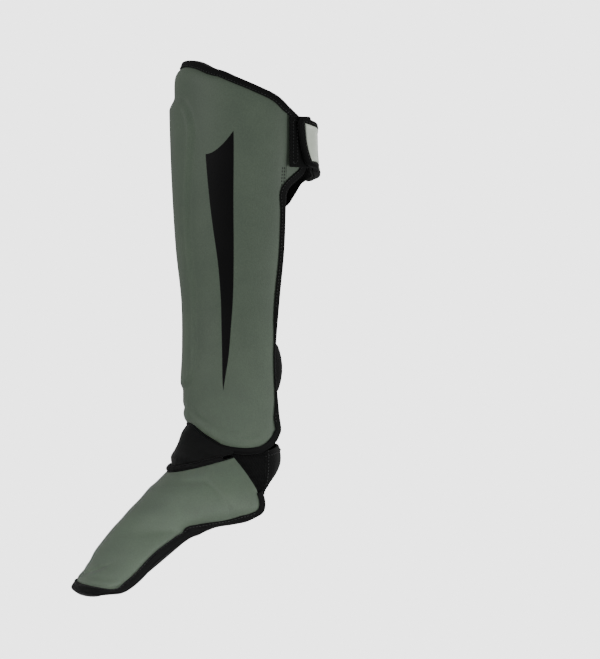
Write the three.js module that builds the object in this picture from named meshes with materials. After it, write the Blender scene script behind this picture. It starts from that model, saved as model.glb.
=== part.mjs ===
// Kickboxing shin guard for the left leg: a moulded foam shin pad with a raised strike bar,
// a foot pad hung on ankle cloth, an instep tongue, and the elastic and hook-and-loop straps
// that close behind the calf, the ankle and under the foot.
// Millimetres. +Z up, toes toward -Y, the wearer's left toward +X.
// The origin is the middle of the pad's inner face, where the shin bears on it.
import * as THREE from 'three';

// Driving dimensions of the shin pad
const shinTop = 196;           // top edge above the seat point
const shinDrop = 187;          // lowest point of the bottom edge below the seat point
const calfHalfWidth = 70;      // half width of the pad at the calf
const noseReach = 27.7;        // front skin ahead of the seat point at the calf
const rearReach = 70;          // rear edges behind the seat point at the calf
const topRound = 50;           // how far the top edge falls from its middle to its rear corners
const bottomRise = 26;         // how far the bottom edge is cut up at its middle
const sideWall = 10;           // foam thickness at the rear edges
const rimWall = 7;             // thickness pressed flat under the edge binding
const rimSinkShare = 0.4;      // share of the foam's squeeze that shows on the outer face
const shoulder = 14;           // width of the rounded shoulder beside the pressed rim
const barHalfWidth = 41;       // half width of the raised strike bar at its head
const barHeight = 6;           // how far the bar stands proud
const barTop = 155;            // upper end of the bar above the seat point
const barBottom = 127;         // lower end of the bar below the seat point
const barCorner = 20;          // corner radius of the bar's ends
const barSlope = 3;            // width of the bar's sloped border

// Driving dimensions of the foot pad
const ankleGap = 8;            // bottom of the shin pad to the top of the foot pad
const footDrop = 127;          // height from the foot pad's top to its toe
const toeReach = 130.5;        // toe edge ahead of the seat point
const footHalfWidth = 69;      // half width over the ankle bones
const footWall = 10;           // foam thickness over the instep
const footRim = 6;             // thickness pressed flat under the foot binding

// Driving dimensions of the edges, straps and cloth
const clearance = 0.3;         // gap between neighbouring pieces
const bindingWall = 1.5;       // thickness of the folded binding tape
const bindingWidth = 7;        // how far the tape laps over each face
const wingReach = 20;          // side wing behind the rear edge
const wingWall = 4;            // thickness of the side wing
const wingBottom = 54;         // root of the wing's lower edge above the seat point
const wingTipLow = 89;         // lower end of the wing's tip above the seat point
const wingTipHigh = 142;       // upper end of the wing's tip above the seat point
const wingLean = 18;           // degrees that the wing leans in toward the calf
const strapWall = 2.4;         // thickness of the elastic straps
const calfStrapWidth = 50;     // width of the upper strap
const calfStrapLevel = 114;    // middle of the upper strap above the seat point
const calfStrapBehind = 39;    // back of the upper strap behind the pad's rear edges
const calfStrapLean = 5;       // degrees that the upper strap leans in toward its top
const farStrapSag = 24;        // how far the strap hangs lower on the far side
const tabOffset = 9;           // start of the closing tab from the strap's end on the wing
const tabLength = 92;          // length of the closing tab along the strap
const tabWall = 2.6;           // thickness of the closing tab
const tabHeight = 56;          // height of the closing tab with its edge
const tabDrop = 3;             // how far the tab lies below the middle of the strap
const tabLap = 4;              // how far the tape laps over the tab
const labelWall = 1;           // thickness of the bare patch on the tab
const labelMargin = 1;         // gap between the patch and the tab's bound edge
const lowerStrapWidth = 48;    // width of the lower strap
const lowerStrapLevel = -108;  // middle of the lower strap from the seat point
const lowerStrapBehind = 17;   // back of the lower strap behind the pad's rear edges
const lowerStrapCrown = 5;     // how far the lower strap's edges curl in
const flapWall = 6;            // thickness of the padded tongue
const flapBulge = 5;           // how far the tongue's folds stand out
const flapSide = 0.68;         // most of the pad's bottom edge that the tongue may fill, as a share
const pipingRadius = 3.2;      // rolled edge of the tongue
const elasticWall = 2.2;       // thickness of the ankle elastic
const heelReach = 78;          // back of the heel strap behind the seat point
const heelFront = 53;          // seam of the heel strap behind the seat point
const heelHalfTop = 50;        // half width at the top of that seam
const heelHalfBottom = 58;     // half width at the bottom of that seam
const heelRise = 5;            // how far the heel strap's top rises at its middle
const heelDraw = 8;            // how far its lower edge is drawn up at its middle
const soleStrapSag = 8;        // how far the strap under the foot hangs below the edges
const soleStrapStart = 0.62;   // share of the foot's length where that strap starts
const soleStrapEnd = 0.83;     // share of the foot's length where that strap ends

const shinLength = shinTop + shinDrop;
const tapeLap = bindingWidth + 0.5;

// Shin pad sections from the bottom (level 0) to the top (level 1).
// width is a share of calfHalfWidth, front of noseReach, rear of rearReach, proud of barHeight
const shinSections = [
  { level: 0, width: 0.78, front: 0.7, rear: 0.92, proud: 0.5 },
  { level: 0.09, width: 0.785, front: 0.7, rear: 0.92, proud: 0.5 },
  { level: 0.174, width: 0.8, front: 0.69, rear: 0.88, proud: 0.5 },
  { level: 0.251, width: 0.799, front: 0.62, rear: 0.87, proud: 0.58 },
  { level: 0.381, width: 0.8, front: 0.61, rear: 0.925, proud: 0.75 },
  { level: 0.51, width: 0.89, front: 0.776, rear: 0.97, proud: 0.9 },
  { level: 0.64, width: 0.934, front: 0.888, rear: 0.985, proud: 0.97 },
  { level: 0.769, width: 0.994, front: 0.964, rear: 1, proud: 1 },
  { level: 0.899, width: 1, front: 1, rear: 1, proud: 1 },
  { level: 1, width: 0.99, front: 1, rear: 1, proud: 1 },
];

// Half widths of the strike bar as shares of barHalfWidth, by level of the pad
const barSections = [
  { level: 0, half: 0.6 },
  { level: 0.381, half: 0.612 },
  { level: 0.534, half: 0.634 },
  { level: 0.598, half: 0.663 },
  { level: 0.666, half: 0.732 },
  { level: 0.731, half: 0.841 },
  { level: 0.798, half: 0.963 },
  { level: 0.832, half: 1 },
  { level: 1, half: 1 },
];

// Edge of the pad by side, a share of the way round from the nose to the rear edge.
// fall is a share of topRound, rise a share of bottomRise. The row before the nose mirrors
// the one after it, so that both edges run level across the middle
const edgeProfile = [
  { side: -0.17, fall: 0.01, rise: 0.84 },
  { side: 0, fall: 0, rise: 0.9 },
  { side: 0.17, fall: 0.01, rise: 0.84 },
  { side: 0.32, fall: 0.04, rise: 0.58 },
  { side: 0.46, fall: 0.2, rise: 0.31 },
  { side: 0.54, fall: 0.3, rise: 0.14 },
  { side: 0.64, fall: 0.42, rise: 0.04 },
  { side: 0.75, fall: 0.56, rise: 0 },
  { side: 0.83, fall: 0.67, rise: 0.03 },
  { side: 0.89, fall: 0.75, rise: 0.12 },
  { side: 0.945, fall: 0.85, rise: 0.34 },
  { side: 1, fall: 1, rise: 0.73 },
];

// Ribs of the foot pad from the ankle (along 0) to the toe (along 1). Each rib is half an
// ellipse from its ridge point over to its two edge points. out is a share of toeReach
// ahead of the seat point, fall a share of footDrop, half a share of footHalfWidth
const footRibs = [
  { along: 0, ridgeOut: 0.268, ridgeFall: 0.13, edgeOut: -0.165, edgeFall: 0, half: 0.71 },
  { along: 0.083, ridgeOut: 0.337, ridgeFall: 0.197, edgeOut: -0.253, edgeFall: 0.134, half: 0.855 },
  { along: 0.167, ridgeOut: 0.406, ridgeFall: 0.264, edgeOut: -0.326, edgeFall: 0.283, half: 0.97 },
  { along: 0.25, ridgeOut: 0.471, ridgeFall: 0.339, edgeOut: -0.326, edgeFall: 0.402, half: 0.985 },
  { along: 0.333, ridgeOut: 0.548, ridgeFall: 0.415, edgeOut: -0.238, edgeFall: 0.465, half: 0.913 },
  { along: 0.417, ridgeOut: 0.62, ridgeFall: 0.495, edgeOut: -0.134, edgeFall: 0.496, half: 0.826 },
  { along: 0.5, ridgeOut: 0.69, ridgeFall: 0.57, edgeOut: 0, edgeFall: 0.524, half: 0.754 },
  { along: 0.583, ridgeOut: 0.755, ridgeFall: 0.652, edgeOut: 0.146, edgeFall: 0.571, half: 0.754 },
  { along: 0.667, ridgeOut: 0.818, ridgeFall: 0.738, edgeOut: 0.295, edgeFall: 0.665, half: 0.775 },
  { along: 0.75, ridgeOut: 0.858, ridgeFall: 0.815, edgeOut: 0.429, edgeFall: 0.764, half: 0.79 },
  { along: 0.833, ridgeOut: 0.912, ridgeFall: 0.882, edgeOut: 0.563, edgeFall: 0.9, half: 0.812 },
  { along: 0.917, ridgeOut: 0.966, ridgeFall: 0.953, edgeOut: 0.682, edgeFall: 0.99, half: 0.826 },
  { along: 1, ridgeOut: 1, ridgeFall: 1, edgeOut: 0.743, edgeFall: 1.03, half: 0.76 },
];

// Folds of the tongue from its top to its rolled edge; out is a share of flapBulge
const flapFolds = [
  { down: 0, out: 0 },
  { down: 0.2, out: 1 },
  { down: 0.42, out: 0.25 },
  { down: 0.6, out: 0.15 },
  { down: 0.76, out: 0.45 },
  { down: 0.88, out: 0.5 },
  { down: 1, out: 0 },
];

// Way of the upper strap behind the calf, from the left wing round to the right one.
// across is a share of calfHalfWidth, behind of calfStrapBehind, sag of farStrapSag
const calfStrapWay = [
  { across: 0.8, behind: 0.76, sag: 0.06 },
  { across: 0.58, behind: 0.9, sag: 0.14 },
  { across: 0.3, behind: 0.978, sag: 0.26 },
  { across: 0, behind: 1, sag: 0.45 },
  { across: -0.3, behind: 0.978, sag: 0.75 },
  { across: -0.58, behind: 0.9, sag: 0.92 },
  { across: -0.8, behind: 0.76, sag: 1 },
];

// Folded-cloth colours and finishes
const green = new THREE.MeshStandardMaterial({ color: 0x566459, roughness: 0.6, metalness: 0 });
const black = new THREE.MeshStandardMaterial({ color: 0x141414, roughness: 0.75, metalness: 0 });
const webbing = new THREE.MeshStandardMaterial({ color: 0x1a1a1a, roughness: 0.9, metalness: 0 });
const pale = new THREE.MeshStandardMaterial({ color: 0xb9bfb6, roughness: 0.6, metalness: 0 });

const group = new THREE.Group();

function addPiece(name, geometry, material) {
  const mesh = new THREE.Mesh(geometry, material);
  mesh.name = name;
  group.add(mesh);
}

// A smooth value from a table: a cubic through the rows with slopes from their neighbours
function readTable(rows, key, column, at) {
  const last = rows.length - 1;
  const place = Math.min(Math.max(at, rows[0][key]), rows[last][key]);
  let i = 0;
  while (i < last - 1 && rows[i + 1][key] < place) i += 1;
  const slope = (k) => {
    const before = rows[Math.max(k - 1, 0)];
    const after = rows[Math.min(k + 1, last)];
    return (after[column] - before[column]) / (after[key] - before[key]);
  };
  const span = rows[i + 1][key] - rows[i][key];
  const u = (place - rows[i][key]) / span;
  const a = rows[i][column];
  const b = rows[i + 1][column];
  const rise = b - a;
  const bendA = slope(i) * span - rise;
  const bendB = rise - slope(i + 1) * span;
  return a + rise * u + u * (1 - u) * ((1 - u) * bendA + u * bendB);
}

function mix(a, b, share) {
  return a + (b - a) * share;
}

function clamp01(value) {
  return Math.min(Math.max(value, 0), 1);
}

function signedVolume(points, faces) {
  let sum = 0;
  const cross = new THREE.Vector3();
  for (const [a, b, c] of faces) {
    cross.crossVectors(points[b], points[c]);
    sum += points[a].dot(cross);
  }
  return sum / 6;
}

// A closed mesh from points and triangles, turned so that its faces point out
function closedMesh(points, faces) {
  const outward = signedVolume(points, faces) > 0;
  const index = [];
  for (const [a, b, c] of faces) index.push(a, outward ? b : c, outward ? c : b);
  const geometry = new THREE.BufferGeometry().setFromPoints(points);
  geometry.setIndex(index);
  geometry.computeVertexNormals();
  return geometry;
}

// A wall between two grids of points with the same rows and columns, closed round its rim
function wall(outer, inner) {
  const rows = outer.length;
  const columns = outer[0].length;
  const points = [...outer.flat(), ...inner.flat()];
  const faces = [];
  const at = (i, j) => i * columns + j;
  const back = rows * columns;
  const quad = (a, b, c, d) => faces.push([a, b, c], [a, c, d]);
  for (let i = 0; i < rows - 1; i += 1) {
    for (let j = 0; j < columns - 1; j += 1) {
      quad(at(i, j), at(i, j + 1), at(i + 1, j + 1), at(i + 1, j));
      quad(back + at(i, j), back + at(i + 1, j), back + at(i + 1, j + 1), back + at(i, j + 1));
    }
  }
  const rim = [];
  for (let j = 0; j < columns - 1; j += 1) rim.push(at(0, j));
  for (let i = 0; i < rows - 1; i += 1) rim.push(at(i, columns - 1));
  for (let j = columns - 1; j > 0; j -= 1) rim.push(at(rows - 1, j));
  for (let i = rows - 1; i > 0; i -= 1) rim.push(at(i, 0));
  rim.forEach((a, k) => {
    const b = rim[(k + 1) % rim.length];
    quad(b, a, back + a, back + b);
  });
  return closedMesh(points, faces);
}

// A bar through stations, each a closed ring of points; endFaces closes an open bar
function sweep(stations, endFaces) {
  const sides = stations[0].length;
  const points = stations.flat();
  const faces = [];
  const runs = endFaces ? stations.length - 1 : stations.length;
  for (let k = 0; k < runs; k += 1) {
    const next = ((k + 1) % stations.length) * sides;
    for (let j = 0; j < sides; j += 1) {
      const a = k * sides + j;
      const b = k * sides + ((j + 1) % sides);
      const c = next + ((j + 1) % sides);
      const d = next + j;
      faces.push([a, b, c], [a, c, d]);
    }
  }
  if (endFaces) {
    const end = (stations.length - 1) * sides;
    for (const [a, b, c] of endFaces) faces.push([a, c, b], [end + a, end + b, end + c]);
  }
  return closedMesh(points, faces);
}

// Shin pad: a sheet of foam wrapped round the shin. across is measured along the skin from
// the nose, positive to the wearer's left, and depth inward from the outer skin
function shinSection(z) {
  const level = (z + shinDrop) / shinLength;
  const half = calfHalfWidth * readTable(shinSections, 'level', 'width', level);
  const front = -noseReach * readTable(shinSections, 'level', 'front', level);
  const rear = rearReach * readTable(shinSections, 'level', 'rear', level);
  const deep = rear - front;
  const blend = ((half - deep) / (half + deep)) ** 2;
  const quarter = (Math.PI / 4) * (half + deep) * (1 + blend / 4);
  return { half, front, rear, deep, quarter };
}

const frontWall = -shinSection(0).front;

function shinPoint(across, z, depth) {
  const { half, rear, deep, quarter } = shinSection(z);
  const turn = (Math.PI / 2) * clamp01(Math.abs(across) / quarter) * Math.sign(across);
  const past = Math.max(Math.abs(across) - quarter, 0);
  const lean = THREE.MathUtils.degToRad(wingLean);
  const x = (half - depth) * Math.sin(turn) - past * Math.sin(lean) * Math.sign(across);
  const y = rear - (deep - depth) * Math.cos(turn) + past * Math.cos(lean);
  return new THREE.Vector3(x, y, z);
}

function shinWall(side) {
  const facing = Math.cos((Math.PI / 2) * side) ** 2;
  return mix(sideWall, frontWall, facing);
}

function rimSink(side) {
  return (shinWall(side) - rimWall) * rimSinkShare;
}

function topEdge(side) {
  return shinTop - topRound * readTable(edgeProfile, 'side', 'fall', Math.abs(side));
}

function bottomEdge(side) {
  return bottomRise * readTable(edgeProfile, 'side', 'rise', Math.abs(side)) - shinDrop;
}

// 1 on the pressed rim, falling to 0 over the rounded shoulder
function pressed(fromEdge) {
  const u = clamp01((fromEdge - tapeLap) / shoulder);
  return 1 - Math.sqrt(1 - (1 - u) ** 2);
}

function shinDepths(side, z) {
  const quarter = shinSection(z).quarter;
  const toSide = (1 - Math.abs(side)) * quarter;
  const toEnd = Math.min(topEdge(side) - z, z - bottomEdge(side));
  const press = Math.max(pressed(toSide), pressed(toEnd));
  const sink = rimSink(Math.abs(side));
  const thick = shinWall(Math.abs(side));
  const inner = thick - (thick - rimWall - sink) * press;
  return { outer: sink * press, inner };
}

function barHalfAt(z) {
  const level = (z + shinDrop) / shinLength;
  const half = barHalfWidth * readTable(barSections, 'level', 'half', level);
  const toEnd = Math.min(barTop - z, z + barBottom);
  const corner = clamp01((barCorner - toEnd) / barCorner);
  return half - barCorner * (1 - Math.sqrt(1 - corner ** 2));
}

// Offsets from an edge at which the pad has a line of points
const edgeLines = [0, tapeLap, tapeLap + shoulder * 0.18, tapeLap + shoulder * 0.5, tapeLap + shoulder];
const deepLine = edgeLines[edgeLines.length - 1];

function shinRowShares() {
  const low = bottomEdge(0) + deepLine;
  const high = topEdge(0) - deepLine;
  const share = (z) => (z - low) / (high - low);
  const barLow = share(-barBottom);
  const barHigh = share(barTop);
  const slopeShare = share(barTop) - share(barTop - barSlope);
  const bars = [];
  const steps = 13;
  for (let k = 0; k <= steps; k += 1) bars.push(mix(barLow, barHigh, k / steps));
  bars.splice(1, 0, barLow + slopeShare, barLow + slopeShare * 3);
  bars.splice(bars.length - 1, 0, barHigh - slopeShare * 3, barHigh - slopeShare);
  return { shares: [0, ...bars, mix(barHigh, 1, 0.5), 1], barLow, barHigh };
}

// The grid of the pad: each entry is a place on the wrapped sheet and how far the bar stands
function shinGrid() {
  const { shares, barLow, barHigh } = shinRowShares();
  const low0 = bottomEdge(0) + deepLine;
  const high0 = topEdge(0) - deepLine;
  const rows = [];
  const makeRow = (levelZ, heightAt, barOn) => {
    const quarter = shinSection(levelZ).quarter;
    const half = Math.max(barHalfAt(Math.min(Math.max(levelZ, -barBottom), barTop)), barSlope * 4);
    const plain = half + barSlope;
    const inset = quarter - deepLine;
    const right = [0, half * 0.5, half - barSlope / 2, half + barSlope / 2];
    for (const share of [0.25, 0.5, 0.75, 1]) right.push(mix(plain, inset, share));
    for (const line of [...edgeLines].reverse().slice(1)) right.push(quarter - line);
    const sides = right.map((value) => value / quarter);
    const all = [...sides.slice(1).reverse().map((s) => -s), ...sides];
    const middle = sides.length - 1;
    rows.push(all.map((side, j) => {
      const z = heightAt(side);
      const across = side * shinSection(z).quarter;
      const onBar = barOn && Math.abs(j - middle) <= 2;
      return { side, across, z, onBar };
    }));
  };
  for (const line of edgeLines.slice(0, -1)) {
    makeRow(bottomEdge(0) + line, (side) => bottomEdge(side) + line, false);
  }
  for (const share of shares) {
    const on = share > barLow + 0.001 && share < barHigh - 0.001;
    const height = (side) => mix(bottomEdge(side) + deepLine, topEdge(side) - deepLine, share);
    makeRow(mix(low0, high0, share), height, on);
  }
  for (const line of edgeLines.slice(0, -1).reverse()) {
    makeRow(topEdge(0) - line, (side) => topEdge(side) - line, false);
  }
  return rows;
}

const shinPlaces = shinGrid();

function shinPad() {
  const proud = (z) => {
    const level = (z + shinDrop) / shinLength;
    return barHeight * readTable(shinSections, 'level', 'proud', level);
  };
  const outer = shinPlaces.map((row) => row.map(({ side, across, z, onBar }) => (
    shinPoint(across, z, shinDepths(side, z).outer - (onBar ? proud(z) : 0))
  )));
  const inner = shinPlaces.map((row) => row.map(({ side, across, z }) => (
    shinPoint(across, z, shinDepths(side, z).inner)
  )));
  return wall(outer, inner);
}

addPiece('shin_pad', shinPad(), green);

// Side wings: thin bound flaps behind the pad's rear edges, which carry the upper strap.
// back runs from the pad's rear edge (0) to the wing's tip (1)
function wingLow(back) {
  return mix(wingBottom, wingTipLow, back);
}

function wingHigh(back) {
  return mix(topEdge(1), wingTipHigh, back);
}

function wingPlace(back, up, hand) {
  const z = mix(wingLow(back), wingHigh(back), up);
  return { side: hand, past: (clearance + (wingReach - clearance) * back) * hand, z };
}

const wingTop = rimSink(1);
const wingUnder = wingTop + wingWall;

function wing(hand) {
  const grid = (depth) => [0, 0.2, 0.4, 0.6, 0.8, 1].map((up) => (
    [0, 0.35, 0.7, 1].map((back) => {
      const { past, z } = wingPlace(back, up, hand);
      return shinPoint(shinSection(z).quarter * hand + past, z, depth);
    })
  ));
  return wall(grid(wingTop), grid(wingUnder));
}

addPiece('wing_left', wing(1), green);
addPiece('wing_right', wing(-1), green);

// Edge binding: tape folded over an edge. A station has its place, the way inward along the
// sheet, and the depths of the wall that it wraps. The inner lap stands a little looser
const innerGap = 2 * clearance;

function foldedTape(point, station) {
  const { top, under } = station;
  const out = clearance + bindingWall;
  const inside = under + innerGap;
  const middle = (top + under) / 2;
  const lap = bindingWidth;
  return [
    point(station, lap, top - out),
    point(station, 0, top - out),
    point(station, -out * 0.8, top - out * 0.5),
    point(station, -out, middle),
    point(station, -out * 0.8, under + out * 0.5),
    point(station, 0, inside + bindingWall),
    point(station, lap, inside + bindingWall),
    point(station, lap, inside),
    point(station, -clearance, inside),
    point(station, -clearance, top - clearance),
    point(station, lap, top - clearance),
  ];
}

function shinTapePoint(station, inward, depth) {
  const z = station.z + station.inUp * inward;
  const across = station.side * shinSection(z).quarter + station.past + station.inAcross * inward;
  return shinPoint(across, z, depth);
}

function shinTapeStations() {
  const last = shinPlaces[0].length - 1;
  const rowTotal = shinPlaces.length;
  const rim = (place, inAcross, inUp) => {
    const top = rimSink(Math.abs(place.side));
    return { side: place.side, past: 0, z: place.z, inAcross, inUp, top, under: top + rimWall };
  };
  const wingEdge = (back, up, hand, inAcross, inUp) => {
    const place = wingPlace(back, up, hand);
    return { ...place, inAcross: inAcross * hand, inUp, top: wingTop, under: wingUnder };
  };
  const slant = Math.hypot(wingReach, wingTipLow - wingBottom);
  const lowAcross = -(wingTipLow - wingBottom) / slant;
  const lowUp = wingReach / slant;
  const cornerUp = (1 + lowAcross) / lowUp;
  const padTop = rimSink(1);
  const padEdge = { top: padTop, under: padTop + rimWall };
  const wingRound = (hand) => [
    { ...wingEdge(0, 0, hand, 0, 1), ...padEdge },
    wingEdge(0.35, 0, hand, lowAcross, lowUp),
    wingEdge(0.75, 0, hand, lowAcross, lowUp),
    wingEdge(1, 0, hand, -1, cornerUp),
    wingEdge(1, 0.3, hand, -1, 0),
    wingEdge(1, 0.7, hand, -1, 0),
    wingEdge(1, 1, hand, -1, -1),
    wingEdge(0.6, 1, hand, 0, -1),
    wingEdge(0.3, 1, hand, 0, -1),
    { ...wingEdge(0, 1, hand, 0, -1), ...padEdge },
  ];
  const side = [];
  for (let i = 1; i < rowTotal - 1; i += 1) {
    if (shinPlaces[i][last].z < wingBottom - bindingWidth) side.push(i);
  }
  const bottom = shinPlaces[0].slice(1, last).map((place) => rim(place, 0, 1));
  const top = shinPlaces[rowTotal - 1].slice(1, last).map((place) => rim(place, 0, -1));
  return [
    ...bottom,
    rim(shinPlaces[0][last], -1, 1),
    ...side.map((i) => rim(shinPlaces[i][last], -1, 0)),
    ...wingRound(1),
    ...top.reverse(),
    ...wingRound(-1).reverse(),
    ...side.reverse().map((i) => rim(shinPlaces[i][0], 1, 0)),
    rim(shinPlaces[0][0], 1, 1),
  ];
}

addPiece('shin_binding', sweep(shinTapeStations().map((s) => foldedTape(shinTapePoint, s))), black);

// Foot pad: half-elliptic ribs from the ankle down to the toe, open under the sole.
// side runs from one edge (-1) over the ridge (0) to the other (1)
const footTop = shinDrop + ankleGap;

function footRib(along) {
  const value = (column) => readTable(footRibs, 'along', column, along);
  return {
    ridgeY: -toeReach * value('ridgeOut'),
    ridgeZ: -footTop - footDrop * value('ridgeFall'),
    edgeY: -toeReach * value('edgeOut'),
    edgeZ: -footTop - footDrop * value('edgeFall'),
    half: footHalfWidth * value('half'),
  };
}

function footPoint(along, side, depth) {
  const rib = footRib(along);
  const turn = (Math.PI / 2) * side;
  const reach = Math.hypot(rib.ridgeY - rib.edgeY, rib.ridgeZ - rib.edgeZ);
  const lift = (1 - depth / reach) * Math.cos(turn);
  const x = (rib.half - depth) * Math.sin(turn);
  const y = rib.edgeY + (rib.ridgeY - rib.edgeY) * lift;
  const z = rib.edgeZ + (rib.ridgeZ - rib.edgeZ) * lift;
  return new THREE.Vector3(x, y, z);
}

const footSink = (footWall - footRim) * 0.6;
const footLapShare = 0.12;     // share of half a rib that the binding laps over
const toeLapShare = 0.07;      // share of the foot's length that the binding laps over at the toe
const footShoulder = 0.12;     // share of half a rib taken by the rounded shoulder
const footHalfSides = [0.2, 0.4, 0.6, 0.7, 0.77, 0.83, 1 - footLapShare, 1];
const footSides = [...[...footHalfSides].reverse().map((side) => -side), 0, ...footHalfSides];
const gussetEnd = 0.167;       // share of the foot's length where the ankle elastic ends
const footRows = [0, 0.05, 0.1, gussetEnd, 0.21, 0.25, 0.29, 0.333, 0.375, 0.417, 0.458, 0.5, 0.54,
  0.583, 0.667, 0.75, 0.833, 0.885, 1 - toeLapShare, 1];

function footDepths(along, side) {
  const fromSide = clamp01((1 - Math.abs(side) - footLapShare) / footShoulder);
  const fromToe = clamp01((1 - along - toeLapShare) / (footShoulder / 2));
  const press = 1 - Math.min(fromSide, fromToe);
  const inner = footWall - (footWall - footRim - footSink) * press;
  return { outer: footSink * press, inner };
}

function footPad() {
  const grid = (face) => footRows.map((along) => footSides.map((side) => (
    footPoint(along, side, footDepths(along, side)[face])
  )));
  return wall(grid('outer'), grid('inner'));
}

addPiece('foot_pad', footPad(), green);

// Foot binding: one strip along both sides and round the toe
function footTapePoint(station, inward, depth) {
  const along = station.along + station.inAlong * inward;
  return footPoint(along, station.side + station.inSide * inward, depth);
}

function footTapeStations() {
  const sideStep = footLapShare / bindingWidth;
  const toeStep = toeLapShare / bindingWidth;
  const rows = footRows.filter((along) => along >= gussetEnd && along < 1);
  const across = footSides.slice(1, -1);
  const wrap = { top: footSink, under: footSink + footRim };
  const edge = (along, hand) => ({ along, side: hand, inAlong: 0, inSide: -hand * sideStep, ...wrap });
  const corner = (hand) => ({ along: 1, side: hand, inAlong: -toeStep, inSide: -hand * sideStep, ...wrap });
  const toe = (side) => ({ along: 1, side, inAlong: -toeStep, inSide: 0, ...wrap });
  return [
    ...rows.map((along) => edge(along, -1)),
    corner(-1),
    ...across.map(toe),
    corner(1),
    ...rows.reverse().map((along) => edge(along, 1)),
  ];
}

// Triangles that close the two ends of a folded tape
const tapeEnd = [
  [0, 1, 10], [1, 9, 10], [1, 2, 9], [2, 3, 9], [3, 8, 9],
  [3, 4, 8], [4, 5, 8], [5, 7, 8], [5, 6, 7],
];

addPiece('foot_binding', sweep(footTapeStations().map((s) => foldedTape(footTapePoint, s)), tapeEnd), black);

// Piping: the rolled edge of the tongue, lying on the top edge of the foot pad
const pipingLift = clearance + pipingRadius;

function pipingCentre(side) {
  const rim = footPoint(0, side, footDepths(0, side).outer + pipingRadius * 0.4);
  rim.z += pipingLift;
  return rim;
}

function roll(centres, radius) {
  const sides = 8;
  const stations = centres.map((centre, k) => {
    const before = centres[Math.max(k - 1, 0)];
    const after = centres[Math.min(k + 1, centres.length - 1)];
    const along = after.clone().sub(before).normalize();
    const up = new THREE.Vector3(0, 0, 1);
    up.addScaledVector(along, -up.dot(along)).normalize();
    const out = new THREE.Vector3().crossVectors(along, up);
    const ring = [];
    for (let j = 0; j < sides; j += 1) {
      const turn = (2 * Math.PI * j) / sides;
      const point = centre.clone();
      point.addScaledVector(up, radius * Math.cos(turn));
      point.addScaledVector(out, radius * Math.sin(turn));
      ring.push(point);
    }
    return ring;
  });
  const fan = [];
  for (let j = 1; j < sides - 1; j += 1) fan.push([0, j, j + 1]);
  return sweep(stations, fan);
}

const pipingSides = footSides.slice(1, -1);

addPiece('flap_piping', roll(pipingSides.map(pipingCentre), pipingRadius), black);

// Ankle flap: the padded tongue from the shin pad's bottom edge down to the piping
const tapeOut = bindingWall + 2 * clearance;

const flapSides = shinPlaces[0].map(({ side }) => side).filter((side) => Math.abs(side) <= flapSide);
const flapEnd = flapSides[flapSides.length - 1];

function flapTop(side, depth) {
  const z = bottomEdge(side) - tapeOut;
  const across = side * shinSection(z).quarter;
  return shinPoint(across, z, rimSink(Math.abs(side)) + depth);
}

function flapFoot(share, depth) {
  const side = share * pipingSides[pipingSides.length - 1];
  const point = footPoint(0, side, footDepths(0, side).outer + depth);
  point.z += pipingLift + pipingRadius + clearance;
  return point;
}

function ankleFlap() {
  const downs = flapFolds.map(({ down }) => down);
  const grid = (depth) => downs.map((down) => flapSides.map((side) => {
    const share = side / flapEnd;
    const top = flapTop(side, depth);
    const foot = flapFoot(share, depth);
    const point = top.lerp(foot, down);
    const room = clamp01((1 - Math.abs(share)) * 2.5);
    const out = flapBulge * readTable(flapFolds, 'down', 'out', down) * room;
    const turn = (Math.PI / 2) * side;
    point.x += out * Math.sin(turn);
    point.y -= out * Math.cos(turn);
    return point;
  }));
  return wall(grid(0), grid(flapWall));
}

addPiece('ankle_flap', ankleFlap(), black);

// A band along a way: each place has a point on its outer face, a normal and a height axis.
// crown is how far its upper and lower edges curl in
function band(places, height, thick, crown = 0) {
  const stations = places.map(({ point, normal, up }) => {
    const corner = (inward, lift) => {
      const result = point.clone();
      result.addScaledVector(normal, -inward);
      result.addScaledVector(up, lift);
      return result;
    };
    const half = height / 2;
    const lifts = crown > 0 ? [half, half * 0.6, 0, -half * 0.6, -half] : [half, -half];
    const curl = (lift) => crown * (lift / half) ** 2;
    const outer = lifts.map((lift) => corner(curl(lift), lift));
    const inner = lifts.map((lift) => corner(curl(lift) + thick, lift));
    return [...outer, ...inner.reverse()];
  });
  const sides = stations[0].length;
  const closing = [];
  for (let j = 0; j < sides / 2 - 1; j += 1) {
    closing.push([j, j + 1, sides - 2 - j], [j, sides - 2 - j, sides - 1 - j]);
  }
  return sweep(stations, closing);
}

// Places along a smooth line of points, evenly by length from one share of it to another,
// with normals that point away from the leg. lean turns the height axis in toward its top
function placesAlong(points, count, up, { from = 0, to = 1, lean = 0 } = {}) {
  const curve = new THREE.CatmullRomCurve3(points, false, 'centripetal');
  curve.arcLengthDivisions = 400;
  const angle = THREE.MathUtils.degToRad(lean);
  const places = [];
  for (let k = 0; k <= count; k += 1) {
    const share = mix(from, to, k / count);
    const point = curve.getPointAt(share);
    const along = curve.getTangentAt(share);
    along.addScaledVector(up, -along.dot(up)).normalize();
    const level = new THREE.Vector3().crossVectors(along, up);
    const tilt = angle * Math.sin(Math.PI * clamp01((share - 0.1) / 0.8));
    const normal = level.clone().multiplyScalar(Math.cos(tilt)).addScaledVector(up, Math.sin(tilt));
    const height = up.clone().multiplyScalar(Math.cos(tilt)).addScaledVector(level, -Math.sin(tilt));
    places.push({ point, normal, up: height });
  }
  return places;
}

const upright = new THREE.Vector3(0, 0, 1);

// Upper strap: from the outer face of one wing round behind the calf to the other
// The sheet widens upward, so the strap's place on the wing is taken at its upper edge
function strapOnWing(back, hand, level) {
  const high = level + calfStrapWidth / 2;
  const across = (shinSection(high).quarter + wingReach * back) * hand;
  const point = shinPoint(across, high, wingTop - tapeOut - strapWall);
  return point.setZ(level);
}

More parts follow.
